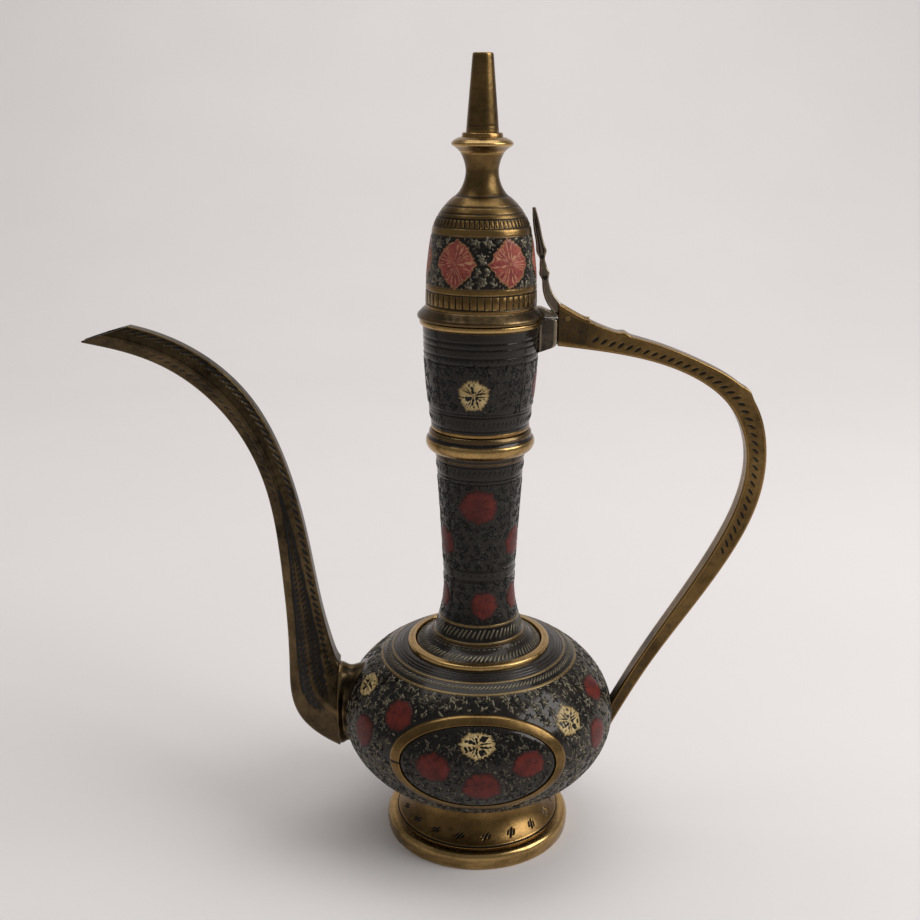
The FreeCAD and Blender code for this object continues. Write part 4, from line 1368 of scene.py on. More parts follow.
@dataclass
class Foot:
    """Heavy foot band and the flared pedestal on it."""

    band_wall: float = 5.0  # width of the band's underside
    band_round: float = 2.4  # rounding of its upper edge
    wall: float = 4.0  # thickness of the pedestal
    top_radius: float = 24.5  # radius of the pedestal's top
    marks: int = 18  # number of punched marks round the pedestal
    mark_place: Pair = (28.6, 9.9)  # radius and height of the ring of marks
    mark_turn: float = 0.058  # angle by which the ring is turned
    mark_depth: float = 0.5  # depth of the marks
    # Shift round and up, and half sizes, of each cut of a mark
    cuts: Sequence[tuple[float, float, Pair]] = (
        (0.0, 0.0, (2.2, 0.5)),
        (1.15, -0.2, (1.3, 0.36)),
        (-1.15, 0.2, (1.2, 0.34)),
    )

    def punched(self, angle: Array, height: Array) -> Array:
        """Punched sprays on the flare: a slanted cut with a nick at either side, repeated round the foot.

        Args:
            angle: Angles round the axis.
            height: Heights.

        Returns:
            Height over the plain flare.
        """
        girth, level = self.mark_place
        pitch = FULL_TURN * girth / self.marks
        along = (angle + self.mark_turn) * girth
        up = (height - level) * 1.35
        lean = 0.95 + 0.25 * np.sin(7.0 * np.floor(along / pitch))
        depths = [slanted_strokes(along - x, up - z, pitch, lean, half) for x, z, half in self.cuts]
        return -self.mark_depth * np.maximum.reduce(depths)

    def build(self) -> None:
        """Builds the band and the pedestal."""
        low, high = node_box("foot_band")
        rim = high[0]
        band = Section.of(
            Corner(rim - self.band_wall, low[2], soft=0.4, step=1.5),
            Corner(rim - 0.35, low[2], soft=0.5, bow=0.35, step=0.3),
            Corner(rim - 0.2, high[2], soft=self.band_round, step=0.35),
            Corner(rim - self.band_wall, high[2], soft=0.3, step=1.5),
        )

        def wavy(angle: Array, height: Array) -> Array:
            """Slight waves of hand work."""
            return 0.02 * np.sin(17.0 * angle + 3.0 * np.sin(height)) - 0.02

        make_piece("foot_band_skin", lathe(band, 360, wavy), BAND, node="foot_band")
        low, high = node_box("foot_pedestal")
        edge = high[0]
        pedestal = Section.of(
            Corner(edge - self.wall, low[2], soft=0.3, step=1.5),
            Corner(edge, low[2], step=0.2),
            Corner(edge - 0.1, low[2] + 0.5, soft=0.15, step=0.15),
            Corner(edge - 0.75, low[2] + 0.35, soft=0.12, step=0.15),
            Corner(edge - 0.9, low[2] + 0.9, bow=-1.8, step=0.12),
            Corner(self.top_radius, high[2], step=1.0),
            Corner(self.top_radius - self.wall, high[2], soft=0.3, bow=-2.0, step=1.5),
        )
        skin = lathe(pedestal, 576, self.punched)
        make_piece("foot_pedestal_skin", skin, ANTIQUE, node="foot_pedestal")


@dataclass
class Globe:
    """Lacquered globe of the body with scrolls, flowers and the turned rings of its shoulder."""

    wall: float = 1.6  # thickness of its shell
    tall: float = 33.9  # half height of the whole ellipsoid
    centre: float = 49.4  # height of its middle
    mouth: float = 20.0  # radius of the hole in its flat roof
    shoulder: Pair = (71.8, 71.9)  # heights of the last coarse and of the first fine row
    # Half breadth, height and half height of the oval under the spout's saddle
    root: tuple[float, float, float] = (12.4, 50.5, 18.4)
    # Heights, widths and heights over the face of brass lines
    lines: Rows = ((75.6, 0.9, 0.14), (73.1, 1.2, 0.16))
    grooves: Sequence[float] = (77.1, 76.55, 76.1)  # heights of turned grooves
    engraving: Engraving = Engraving(
        (ScrollField(21.0, 72.9, 4.7, 9, Chisel(2.7, 1.15, 0.26, 0.45, 0.5, 0.35)),),
        Chisel(1.5, 0.7, 0.18, 0.5, 0.0, 0.3),
    )
    # Ring of strokes on the shoulder
    rope: StrokeRing = StrokeRing(74.55, 150, 38.0, Chisel(3.4, 1.0, 0.24, 0.9))
    # Enamel flowers of the front half; the back half mirrors them
    flowers: Sequence[Patch] = (
        Patch(43.3, 62.3, (5.9, 5.6), Motif.CREAM),
        Patch(-67.7, 66.8, (5.6, 4.8), Motif.CREAM),
        Patch(-38.1, 64.6, (6.2, 6.0), Motif.RED),
        Patch(-55.4, 54.3, (6.2, 6.4), Motif.RED),
        Patch(70.5, 65.3, (6.4, 5.2), Motif.RED),
        Patch(59.5, 52.4, (5.8, 6.4), Motif.RED),
    )

    def depth(self, across: Values, height: Array, growth: Values) -> Array:
        """Distance of the globe's face from an upright plane through the axis.

        With the half sizes R and T it is R sqrt(1 - (across / R)^2 - ((height - centre) / T)^2).

        Args:
            across: Distances from the axis in that plane.
            height: Heights.
            growth: Distance added to both half sizes.

        Returns:
            Distances.
        """
        wide, tall = node_box("globe_shell")[1][0] + growth, self.tall + growth
        left = 1.0 - (across / wide) ** 2 - ((height - self.centre) / tall) ** 2
        return wide * np.sqrt(np.clip(left, 0.0, None))

    def outline(self, growth: float, rows: Array) -> Array:
        """Points (radius, height) of the globe's outline, grown by a distance, at heights."""
        return np.stack([self.depth(0.0, rows, growth), rows], axis=1)

    def ground(self, growth: float = 0.0) -> Ground:
        """Outer face of the globe, or of a layer on it."""
        low, high = node_box("globe_shell")
        return Ground(*self.outline(growth, np.linspace(low[2], high[2], 220)).T)

    def section(self) -> Section:
        """Section of the shell with its floor and flat roof, finer towards the shoulder.

        Returns:
            The closed section.
        """
        low, high = node_box("globe_shell")
        floor, roof = low[2] + self.wall, high[2] - self.wall
        coarse, fine = self.shoulder
        rows = np.concatenate([np.linspace(low[2], coarse, 80), np.linspace(fine, high[2], 60)])
        outer = self.outline(0.0, rows)
        inner = self.outline(-self.wall, np.linspace(roof, floor, 50))
        lip = [[self.mouth, high[2]], [self.mouth, roof]]
        return Section(np.concatenate([[[0.0, low[2]]], outer, lip, inner, [[0.0, floor]]]))

    def build(self, medallion: "Medallion", rng: Rng) -> None:
        """Builds the shell and its ornament.

        Args:
            medallion: Medallion that the scrolls keep clear of.
            rng: Source of the differences.
        """
        ground = self.ground()
        skin = lathe(self.section(), 300, groove_relief(self.grooves, 0.2, 0.13))
        make_piece("globe_skin", skin, BLACK, node="globe_shell")
        flowers = [*self.flowers, *(flower.mirrored() for flower in self.flowers)]
        make_patches("globe", ground, flowers)
        strokes = self.engraving.strokes(ground, flowers, rng)
        place = strokes.places(ground)
        breadth, level, tall = self.root
        in_oval = np.hypot(place[:, 1] / breadth, (place[:, 2] - level) / tall) < 1.0
        hidden = medallion.covers(place, (0.9, 0.8)) | in_oval & (place[:, 0] < 0.0)
        make_piece("globe_scrolls", strokes.kept(~hidden).skin(ground), SCROLL)
        make_piece("globe_rope_band", self.rope.strokes(ground, rng).skin(ground, 4), SCROLL)
        rings = [raised_line(ground, *line) for line in self.lines]
        make_piece("globe_lines", Skin.joined(rings), LINE)


@dataclass
class Medallion:
    """Oval medallion on the globe: a brass strip round a lacquered panel with four flowers."""

    globe: Globe  # globe it lies on
    face: Face  # side of the pot
    middle: float = 50.5  # height of its middle
    half: Pair = (31.5, 18.3)  # half width and half height of its outer edge
    strip: Pair = (4.0, 3.0)  # width of the strip at the sides and at the top, seen along Y
    proud: float = 0.85  # height of the strip over the globe
    panel: float = 0.55  # height of the panel over the globe
    engraving: Engraving = Engraving(
        (ScrollField(34.0, 67.0, 4.5, 9, Chisel(2.5, 1.05, 0.22, 0.14, 0.5, 0.25)),),
        Chisel(1.4, 0.65, 0.18, 0.4, 0.0, 0.3),
    )
    # Enamel flowers of the front panel, which the back mirrors
    flowers: Sequence[Patch] = (
        Patch(-0.1, 60.2, (6.6, 4.9), Motif.CREAM),
        Patch(-17.6, 51.5, (6.8, 5.6), Motif.RED),
        Patch(20.5, 52.5, (6.4, 5.2), Motif.RED),
        Patch(1.7, 45.0, (7.2, 6.4), Motif.RED),
    )

    def covers(self, place: Array, margin: Pair) -> Array:
        """Whether points lie under a medallion on either face, with a margin at its sides and its top."""
        wide, tall = np.array(self.half) + margin
        return np.hypot(place[:, 0] / wide, (place[:, 2] - self.middle) / tall) < 1.0

    def lay(self, across: Array, rise: Array, lift: Array) -> Array:
        """Points over the globe, seen along Y.

        Args:
            across: Distances along X.
            rise: Heights over the medallion's middle.
            lift: Heights over the globe.

        Returns:
            Points with x, y, z as the last axis.
        """
        height = self.middle + rise
        depth = self.face.value * self.globe.depth(across, height, lift)
        return np.stack(np.broadcast_arrays(across, depth, height), axis=-1)

    def strip_skin(self) -> Skin:
        """Brass strip: a flat half-round section led round the oval, with a soldered joint at one end.

        Returns:
            The closed surface.
        """
        turn = round_steps(420) * -self.face.value
        place = np.linspace(-1.0, 1.0, 17)
        top = self.proud * (1.0 - place**8) ** 0.7 - 0.3 * place**16 - 0.12 * place**2
        share = np.concatenate([place, [0.5, -0.5]])[::-1, None] / 2.0
        waves = 0.05 * np.sin(9.0 * turn) * np.cos(4.0 * turn)
        joint = bell(wrapped(turn - np.pi) * self.half[0] * 0.6 - 0.5, 0.35)
        lift = np.concatenate([top, [-0.3, -0.3]])[::-1, None] + waves - 0.25 * joint
        wide = self.half[0] + (share - 0.5) * self.strip[0]
        tall = self.half[1] + (share - 0.5) * self.strip[1]
        points = self.lay(wide * np.cos(turn), tall * np.sin(turn), lift)
        edge = 0.7 * bell(np.abs(place) - 0.8, 0.12) - 1.3 * place**16
        edge = np.concatenate([edge, [-1.0, -1.0]])[::-1, None]
        return ring_skin(points, wear=np.clip(edge - joint, -1.0, 1.0))

    def panel_skin(self) -> Skin:
        """Panel: a polar grid over the inner oval, level over the globe and turned down at its edge.

        Returns:
            The closed surface.
        """
        turn = round_steps(200) * -self.face.value
        share = np.linspace(1.0, 0.03, 40)[:, None]
        lift = self.panel - 0.9 * share**40 + 0.0 * turn
        wide, tall = np.array(self.half) - self.strip + 0.5
        points = self.lay(wide * share * np.cos(turn), tall * share * np.sin(turn), lift)
        ends = self.lay(np.zeros(2), np.zeros(2), np.array([-0.2, self.panel]))
        return capped_skin(points, *ends, wear=0.0 * lift)

    def build(self, rng: Rng) -> None:
        """Builds the strip, the panel and its ornament.

        Args:
            rng: Source of the differences.
        """
        side = self.face.name.lower()
        strip, panel = self.strip_skin(), self.panel_skin()
        make_piece(f"medallion_strip_{side}", strip, WORN, node=f"medallion_frame_{side}")
        make_piece(f"medallion_ground_{side}", panel, BLACK, node=f"medallion_panel_{side}")
        ground = self.globe.ground(self.panel)
        flowers = self.flowers
        if self.face is Face.BACK:
            flowers = [flower.mirrored() for flower in flowers]
        make_patches(f"medallion_{side}", ground, flowers)
        strokes = self.engraving.strokes(ground, flowers, rng)
        place = strokes.places(ground)
        inside = self.covers(place, (-self.strip[0] - 1.1, -self.strip[1] - 0.9))
        keep = inside & (place[:, 1] * self.face.value > 0.0)
        make_piece(f"medallion_scrolls_{side}", strokes.kept(keep).skin(ground), SCROLL)


@dataclass
class Shoulder:
    """Bright shoulder ring and the collar from which the neck rises."""

    top_radius: float = 17.8  # radius of the collar's top
    lip: float = 1.2  # height of its upright lip
    bore: float = 11.5  # radius of its bore
    # Rings of strokes, with their heights over the collar's foot
    strokes: Sequence[StrokeRing] = (
        StrokeRing(2.15, 86, 58.0, Chisel(4.4, 1.2, 0.26, 0.9, 0.3, 0.2)),
        StrokeRing(4.2, 60, 20.0, Chisel(2.0, 0.9, 0.18, 0.5, 0.3)),
    )

    def build(self, rng: Rng) -> None:
        """Builds ring, collar and the collar's stroke bands.

        Args:
            rng: Source of the differences.
        """
        low, high = node_box("shoulder_ring")
        ring = Section.of(
            Corner(high[0] - 3.4, low[2], step=1.0),
            Corner(high[0], low[2], soft=0.1, step=0.25),
            Corner(high[0] - 0.2, high[2] - 0.3, soft=0.7, step=0.25),
            Corner(high[0] - 2.9, high[2], soft=0.4, step=0.3),
        )
        make_piece("shoulder_ring_skin", lathe(ring, 300), BAND, node="shoulder_ring")
        low, high = node_box("shoulder_collar")
        foot = low[2]
        collar = Section.tube(
            self.bore, 0.3, 2.0,
            Corner(high[0], foot, soft=0.1, step=0.3),
            Corner(high[0], foot + self.lip, bow=-0.5, step=0.25),
            Corner(self.top_radius, high[2], step=1.0),
        )
        make_piece("shoulder_collar_skin", lathe(collar, 260), BLACK, node="shoulder_collar")
        ground = Ground.on(collar, foot + self.lip, high[2])
        rings = [replace(ring, height=foot + ring.height).strokes(ground, rng) for ring in self.strokes]
        make_piece("shoulder_strokes", Strokes.joined(rings).skin(ground, 4), SCROLL)


@dataclass
class Neck:
    """Waisted neck tube, lacquered, with red flowers and faint engraving."""

    waist: Pair = (13.1, 100.99)  # radius and height of the narrowest place
    top_radius: float = 16.1  # radius under the bead
    bore: float = 11.5  # radius of its bore
    grooves: Sequence[float] = (150.7, 145.7, 144.3, 110.4, 106.2)  # heights of turned grooves
    # Heights, widths and heights over the face of brass lines
    lines: Rows = ((89.3, 1.0, 0.16), (83.4, 0.9, 0.16))
    # Scrolls above and below the waist, two rings and rays
    engraving: Engraving = Engraving(
        (
            ScrollField(110.8, 143.8, 4.4, 10, Chisel(2.3, 1.0, 0.18, 0.4, 0.5, 0.3)),
            ScrollField(90.2, 106.0, 4.4, 10, Chisel(2.3, 1.0, 0.18, 0.4, 0.5, 0.3)),
        ),
        Chisel(1.3, 0.6, 0.16, 0.4, 0.0, 0.3),
        (
            StrokeRing(108.3, 30, 14.0, Chisel(3.0, 0.8, 0.18, 0.7, 0.5)),
            StrokeRing(148.3, 52, 58.0, Chisel(3.6, 0.8, 0.2, 0.5, 0.2)),
        ),
    )
    # Ring of strokes at the foot
    foot: StrokeRing = StrokeRing(86.4, 57, 62.0, Chisel(4.5, 1.1, 0.26, 0.85, 0.2, 0.2))
    flowers: Sequence[Patch] = (
        Patch(-1.4, 135.7, (7.5, 6.9), Motif.RED),
        Patch(178.6, 135.7, (7.5, 6.9), Motif.RED),
        Patch(-62.0, 120.4, (5.6, 6.0), Motif.RED),
        Patch(64.0, 120.4, (5.6, 6.0), Motif.RED),
        Patch(-118.0, 120.4, (5.6, 6.0), Motif.RED),
        Patch(116.0, 120.4, (5.6, 6.0), Motif.RED),
        Patch(8.5, 97.2, (5.4, 5.5), Motif.RED),
        Patch(70.0, 98.2, (4.8, 5.4), Motif.RED),
        Patch(-74.0, 98.2, (4.8, 5.4), Motif.RED),
        Patch(171.5, 97.2, (5.4, 5.5), Motif.RED),
    )

    def build(self, rng: Rng) -> None:
        """Builds the tube and its ornament.

        Args:
            rng: Source of the differences.
        """
        low, high = node_box("neck_tube")
        section = Section.tube(
            self.bore, 0.3, 2.5,
            Corner(high[0], low[2], soft=0.1, bow=-0.95, step=0.3),
            Corner(*self.waist, soft=0.05, bow=-0.25, step=0.3),
            Corner(self.top_radius, high[2], step=1.0),
        )
        skin = lathe(section, 200, groove_relief(self.grooves, 0.25, 0.3))
        make_piece("neck_skin", skin, BLACK, node="neck_tube")
        ground = Ground.on(section, low[2], high[2])
        make_patches("neck", ground, self.flowers)
        make_piece("neck_scrolls", self.engraving.strokes(ground, self.flowers, rng).skin(ground), FAINT)
        make_piece("neck_foot_strokes", self.foot.strokes(ground, rng).skin(ground, 4), SCROLL)
        rings = [raised_line(ground, *line) for line in self.lines]
        make_piece("neck_foot_lines", Skin.joined(rings), LINE)


@dataclass
class Cup:
    """Bead, cup and mouth rim above the neck."""

    foot_radius: float = 17.4  # radius of the cup's foot
    top_radius: float = 20.6  # radius of its top
    swell: float = 0.7  # bulge of its side
    wall: float = 1.5  # thickness of its wall
    rim_wall: float = 2.6  # thickness of the rim
    bead_bore: float = 14.5  # radius of the bead's bore
    # Heights of turned grooves on the cup
    grooves: Sequence[float] = (195.8, 193.7, 190.6, 188.0, 170.6, 169.6, 164.4)
    # Height, width, height over the face and steps of the band at the cup's foot
    band: tuple[float, float, float, int] = (162.4, 1.5, 0.16, 240)
    # Scrolls, a chain, a rope and rays
    engraving: Engraving = Engraving(
        (ScrollField(171.4, 187.6, 4.8, 10, Chisel(2.4, 1.05, 0.18, 0.35, 0.5, 0.3)),),
        Chisel(1.5, 0.6, 0.16, 0.6, 0.0, 0.3),
        (
            StrokeRing(189.3, 60, 14.0, Chisel(2.3, 0.7, 0.14, 0.2, 0.3)),
            StrokeRing(166.8, 68, 60.0, Chisel(3.2, 1.0, 0.22, 0.8, 0.2)),
        ),
    )
    flowers: Sequence[Patch] = (
        Patch(-7.0, 177.6, (5.6, 5.9), Motif.CREAM),
        Patch(84.0, 178.0, (5.5, 5.9), Motif.RED),
        Patch(173.0, 177.6, (5.6, 5.9), Motif.CREAM),
        Patch(-98.0, 178.0, (5.5, 5.9), Motif.RED),
    )

    def build_bead(self) -> None:
        """Builds the bead: a black skirt, a full brass roll, a black hollow and a brown band."""
        low, high = node_box("neck_bead")
        foot, top = low[2], high[2]
        layers = {
            "skirt": (BLACK, (16.2, foot), (16.4, foot + 2.0), 0.0),
            "roll": (BAND, (16.9, foot + 2.0), (19.3, foot + 6.9), 1.45),
            "hollow": (BLACK, (19.3, foot + 6.9), (18.5, foot + 8.8), -0.3),
            "band": (DARK_CAST, (18.5, foot + 8.8), (17.8, top), 0.15),
        }
        for name, (finish, lower, upper, bow) in layers.items():
            side = Corner(*lower, soft=0.15, bow=bow, step=0.2), Corner(*upper, soft=0.15, step=0.4)
            skin = lathe(Section.tube(self.bead_bore, 0.1, 2.0, *side), 240)
            node = "neck_bead" if name == "roll" else ""
            make_piece(f"bead_{name}", skin, finish, node=node)

    def build_rim(self) -> None:
        """Builds the rounded rim of the mouth."""
        low, high = node_box("mouth_rim")
        side = (Corner(high[0], level, soft=0.8, step=0.2) for level in (low[2], high[2]))
        rim = Section.tube(high[0] - self.rim_wall, 0.2, 0.6, *side)
        make_piece("mouth_rim_skin", lathe(rim, 260), BAND, node="mouth_rim")

    def build(self, rng: Rng) -> None:
        """Builds bead, cup, rim and the cup's ornament.

        Args:
            rng: Source of the differences.
        """
        self.build_bead()
        low, high = node_box("cup")
        section = Section.of(
            Corner(self.foot_radius - self.wall, low[2], soft=0.3),
            Corner(self.foot_radius, low[2], soft=0.25, bow=self.swell, step=0.3),
            Corner(self.top_radius, high[2], soft=0.3, step=0.5),
            Corner(self.top_radius - self.wall, high[2], bow=self.swell, step=2.0),
        )
        skin = lathe(section, 260, groove_relief(self.grooves, 0.25, 0.3))
        make_piece("cup_skin", skin, BLACK, node="cup")
        ground = Ground.on(section, low[2], high[2])
        make_patches("cup", ground, self.flowers)
        make_piece("cup_scrolls", self.engraving.strokes(ground, self.flowers, rng).skin(ground), FAINT)
        make_piece("cup_foot_band", raised_line(ground, *self.band), ANTIQUE)
        self.build_rim()


@dataclass
class Spout:
    """Swan-neck spout of six-sided section and the saddle that carries it."""

    # Place (x, z), heading in degrees, depth and breadth along the spout
    stations: Rows = (
        (-53.5, 50.5, 180.0, 33.0, 20.0),
        (-61.05, 57.7, 147.6, 27.8, 18.0),
        (-64.1, 71.2, 123.0, 19.3, 15.0),
        (-67.2, 100.3, 94.0, 12.3, 11.0),
        (-69.75, 120.5, 98.0, 10.7, 10.2),
        (-74.7, 142.9, 106.0, 9.8, 9.4),
        (-89.35, 171.1, 127.6, 11.0, 9.4),
        (-110.75, 187.8, 154.0, 10.3, 9.2),
        (-124.9, 192.9, 162.0, 9.6, 9.0),
        (-140.5, 195.8, 171.0, 8.5, 8.6),
    )
    edge: float = 0.45  # half width of the narrow faces, as a share of the half breadth
    wall: float = 1.4  # thickness of its wall
    mouth_slope: float = 17.6  # slope of the quill-cut mouth in degrees
    saddle_half: Pair = (17.1, 10.6)  # half height and half breadth of the saddle
    saddle_bore: Pair = (7.0, -46.0)  # radius and inner end of the passage through it
    saddle_sink: float = 0.8  # depth of its foot below the globe's face

    def ring(self) -> tuple[Array, Array, Array]:
        """Unit six-sided ring with softened corners.

        Returns:
            Points (depth, breadth), the side each is on and its share along that side.
        """
        facet, edge = 14, self.edge
        corners = np.array([[1, -edge], [1, edge], [0, 1], [-1, edge], [-1, -edge], [0, -1]], float)
        share = np.tile((np.arange(facet) + 0.5) / facet, 6)
        side = np.repeat(np.arange(6), facet)
        points = corners[side] + share[:, None] * (corners[(side + 1) % 6] - corners[side])
        soft = 0.25 * np.roll(points, 1, axis=0) + 0.5 * points + 0.25 * np.roll(points, -1, axis=0)
        return soft, side, share

    def path(self, run: Array) -> tuple[Array, Array, Array]:
        """Places, directions across and half sizes along the spout.

        Args:
            run: Lengths along the spout.

        Returns:
            Centres (x, z), unit directions across (x, z), and half depth and half breadth.
        """
        table = np.array(self.stations)
        knots = chord_lengths(table[:, :2])
        read = spline(knots, table, run)
        return read[..., :2], headed(np.radians(read[..., 2] - 90.0)), read[..., 3:] / 2.0

    def length(self) -> float:
        """Whole length of the spout's middle line."""
        return float(chord_lengths(np.array(self.stations)[:, :2])[-1])

    def tube(self, run: Array, ring: Array, inset: float) -> Array:
        """Points of the tube: middle line + depth share x direction across + breadth share x Y.

        Args:
            run: Lengths along the spout, rows by columns.
            ring: Unit ring, columns by 2.
            inset: Distance inside the outer face.

        Returns:
            Points, rows by columns by 3.
        """
        centre, across, half = self.path(run)
        depth = (half[..., 0] - inset) * ring[:, 0]
        x = centre[..., 0] + across[..., 0] * depth
        z = centre[..., 1] + across[..., 1] * depth
        return np.stack([x, (half[..., 1] - inset) * ring[:, 1], z], axis=-1)

    def cut_rows(self, rows: int, ring: Array, inset: float) -> Array:
        """Lengths along the spout at which each row and column lies, ended by the slanted mouth.

        Args:
            rows: Number of rows.
            ring: Unit ring.
            inset: Distance inside the outer face.

        Returns:
            Lengths, rows by columns.
        """
        end = self.length()
        start = 0.8 * end
        probe = np.linspace(start, end, 240)[:, None] * np.ones(len(ring))
        points = self.tube(probe, ring, inset)
        centre, across, half = self.path(np.array([end]))
        tip = centre[0] - across[0] * half[0, 0]
        slope = np.tan(np.radians(self.mouth_slope))
        over = points[..., 2] - tip[1] - 0.6 - slope * (points[..., 0] - tip[0])
        first = np.where((over > 0.0).any(axis=0), (over > 0.0).argmax(axis=0), len(probe) - 1)
        last = probe[first, 0]
        run = np.linspace(0.0, end, rows)[:, None]
        return np.where(run < start, run, start + (run - start) * (last - start) / (end - start))

    def cuts(self, run: Array, side: Array, share: Array, half: Array) -> Array:
        """Chiselled ornament: slanted cuts near the upper edges, fine ones below and a leaf on the bulb.

        The leaf's half width is 1.2 p^0.4 (1 - p)^1.1 of the face, with p from 0 at its foot to 1 at its
        point.

        Args:
            run: Lengths along the spout.
            side: Side of the ring that each column is on.
            share: Place on that side.
            half: Half depth and half breadth at each point.

        Returns:
            Height over the plain face, none above 0.
        """
        wide = np.hypot(half[..., 0], (1.0 - self.edge) * half[..., 1])
        upper, lower = (side == 1) | (side == 5), (side == 2) | (side == 4)
        from_edge = np.where((side == 1) | (side == 4), share, 1.0 - share)
        middle = (1.0 - from_edge) * np.where(upper, wide, -wide)
        place = np.clip((run - 5.0) / 87.0, 0.0, 1.0)
        leaf = 1.2 * place**0.4 * (1.0 - place) ** 1.1 * wide
        inside = np.abs(middle) < leaf
        fade = smooth(4.0, 9.0, run) * smooth(self.length() - 12.0, self.length() - 18.0, run)
        coarse = slanted_strokes(run, (from_edge - 0.27) * wide, 3.1, np.radians(27.0), (1.9, 0.5))
        finer = slanted_strokes(run, (from_edge - 0.55) * wide, 3.0, np.radians(-32.0), (1.7, 0.34))
        veins = slanted_strokes(run, middle % 2.4 - 1.2, 2.1, np.radians(48.0), (1.05, 0.34))
        outline = bell(np.abs(middle) - leaf, 0.28) * ((place > 0.0) & (place < 1.0))
        ridge = 0.5 * bell((from_edge - 0.93) * wide, 0.18) * ~inside
        below = lower * 0.45 * finer * smooth(84.0, 96.0, run) * smooth(168.0, 150.0, run)
        lines = np.maximum.reduce([ridge, outline, (0.26 - 0.22 * veins) * inside])
        depth = np.maximum(upper * coarse * ~inside + below, (upper | lower) * lines)
        return -0.38 * fade * depth

    def skin(self) -> Skin:
        """Spout as one closed shell: out along its outer face and back along its bore.

        Returns:
            The closed surface, with the mark wear.
        """
        ring, side, share = self.ring()
        run = self.cut_rows(760, ring, 0.0)
        outer = self.tube(run, ring, 0.0)
        half = self.path(run)[2]
        lift = self.cuts(run, side, share, half)
        corner = 0.5 * np.clip(1.0 - np.minimum(share, 1.0 - share) / 0.1, 0.0, 1.0)
        outer = outer + grid_normals(outer) * lift[..., None]
        inner_run = self.cut_rows(140, ring, self.wall)
        inner = self.tube(inner_run, ring, self.wall)[::-1]
        wear = np.concatenate([np.clip(corner + lift / 0.2, -1.0, 1.0), np.full(inner.shape[:2], -0.8)])
        return ring_skin(np.concatenate([outer, inner]), wear=wear)

    def saddle_skin(self) -> Skin:
        """Saddle: an oval tube from under the globe's face to the spout's root, hollowed between two rims.

        Returns:
            The closed surface, with the mark wear.
        """
        turn = round_steps(160)
        share = np.linspace(0.0, 1.0, 40)[:, None]
        lobes = np.cos(12.0 * turn) * np.sin(np.pi * share)
        swell = 0.35 - 1.3 * np.sin(np.pi * share) ** 2 + 0.18 * lobes
        root_x, root_z = self.stations[0][0] + 0.05, self.stations[0][1]
        tall, wide = self.saddle_half[0] + swell - 0.5, self.saddle_half[1] + swell - 0.5
        z, y = root_z + tall * np.cos(turn), wide * np.sin(turn)
        start = -Globe().depth(y, z, -self.saddle_sink)
        outer = np.stack([start + (root_x - start) * share, y, z], axis=-1)
        bore, end = self.saddle_bore
        ends = np.array([root_x, end])[:, None]
        ring = (ends, bore * np.sin(turn), root_z + bore * np.cos(turn))
        inner = np.stack(np.broadcast_arrays(*ring), axis=-1)
        rubbed = 0.7 * bell(share - 0.95, 0.06) + 0.3 * lobes + 0.1
        wear = np.concatenate([rubbed, np.full((2, turn.size), -1.0)])
        return ring_skin(np.concatenate([outer, inner]), wear=wear)

    def build(self) -> None:
        """Builds the spout and its saddle."""
        make_piece("spout_skin", self.skin(), DARK_CAST, node="spout")
        make_piece("spout_saddle", self.saddle_skin(), DARK_CAST, node="spout_collar")


@dataclass(frozen=True)
class Bar:
    """Bar of rounded rectangular section between two edges in the XZ plane."""

    upper: Array  # points of the upper edge (x, z)
    lower: Array  # points of the lower edge
    sides: Pair  # Y of its two faces
    soft: float = 0.6  # rounding of its edges
    face_points: int = 10  # points across each face

    def template(self) -> tuple[Array, Array]:
        """Unit rectangle and its normals, run so that the bar's faces point outwards.

        Returns:
            Places (side, edge) between -1 and 1, and unit normals.
        """
        turn, edge_points = 4, 6
        corners = np.array([[1, -1], [1, 1], [-1, 1], [-1, -1]], float)
        places, normals = [], []
        for number in range(4):
            here, following = corners[number], corners[(number + 1) % 4]
            flat = edge_points if number % 2 else self.face_points
            share = (np.arange(flat) / (flat - 1))[:, None]
            swing = np.radians(90.0 * number + 90.0 * np.arange(1, turn + 1) / (turn + 1))
            facing = np.radians(90.0 * number)
            places += [here + share * (following - here), np.tile(following, (turn, 1))]
            headings = np.concatenate([np.full(flat, facing), swing])
            normals.append(headed(headings))
        return np.concatenate(places), np.concatenate(normals)

    def grid(self) -> tuple[Array, Array]:
        """Points of the bar and each column's place on its section.

        Returns:
            Points, rows by columns by 3, and places (side, edge).
        """
        place, normal = self.template()
        middle, reach = (self.upper + self.lower) / 2.0, (self.upper - self.lower) / 2.0
        tall = np.maximum(np.linalg.norm(reach, axis=1, keepdims=True), 1e-6)
        soft = np.minimum(self.soft, 0.45 * tall)
        edge = place[None, :, 1] * (tall - soft) + normal[None, :, 1] * soft
        point = middle[:, None, :] + (reach / tall)[:, None, :] * edge[..., None]
        centre, half = sum(self.sides) / 2.0, (self.sides[1] - self.sides[0]) / 2.0
        y = centre + place[None, :, 0] * (half - soft) + normal[None, :, 0] * soft
        return np.stack([point[..., 0], y, point[..., 1]], axis=-1), place

    def skin(self, relief: Callable[[Array], Array] | None = None, dirt_and_shade: Values = 0.0) -> Skin:
        """Closed surface of the bar.

        Args:
            relief: Height over the plain face, from the places of the section; none for a plain bar.
            dirt_and_shade: Darkening along the bar, which the finish shows as grime; on the handle's lower
                end and the thumbpiece's necks it is painted shade.

        Returns:
            The surface, with the mark wear.
        """
        points, place = self.grid()
        corner = 0.8 * ((np.abs(place[:, 0]) > 0.99) & (np.abs(place[:, 1]) > 0.99))
        lift = np.zeros(points.shape[:2]) if relief is None else relief(place)
        points = points + grid_normals(points) * lift[..., None]
        # The darkening, painted shade in places, is taken off the wear mark so that the finish shows it as
        # grime.
        wear = np.clip(corner + lift / 0.2 - dirt_and_shade, -1.0, 1.0)
        return capped_skin(points, points[0].mean(axis=0), points[-1].mean(axis=0), wear=wear)


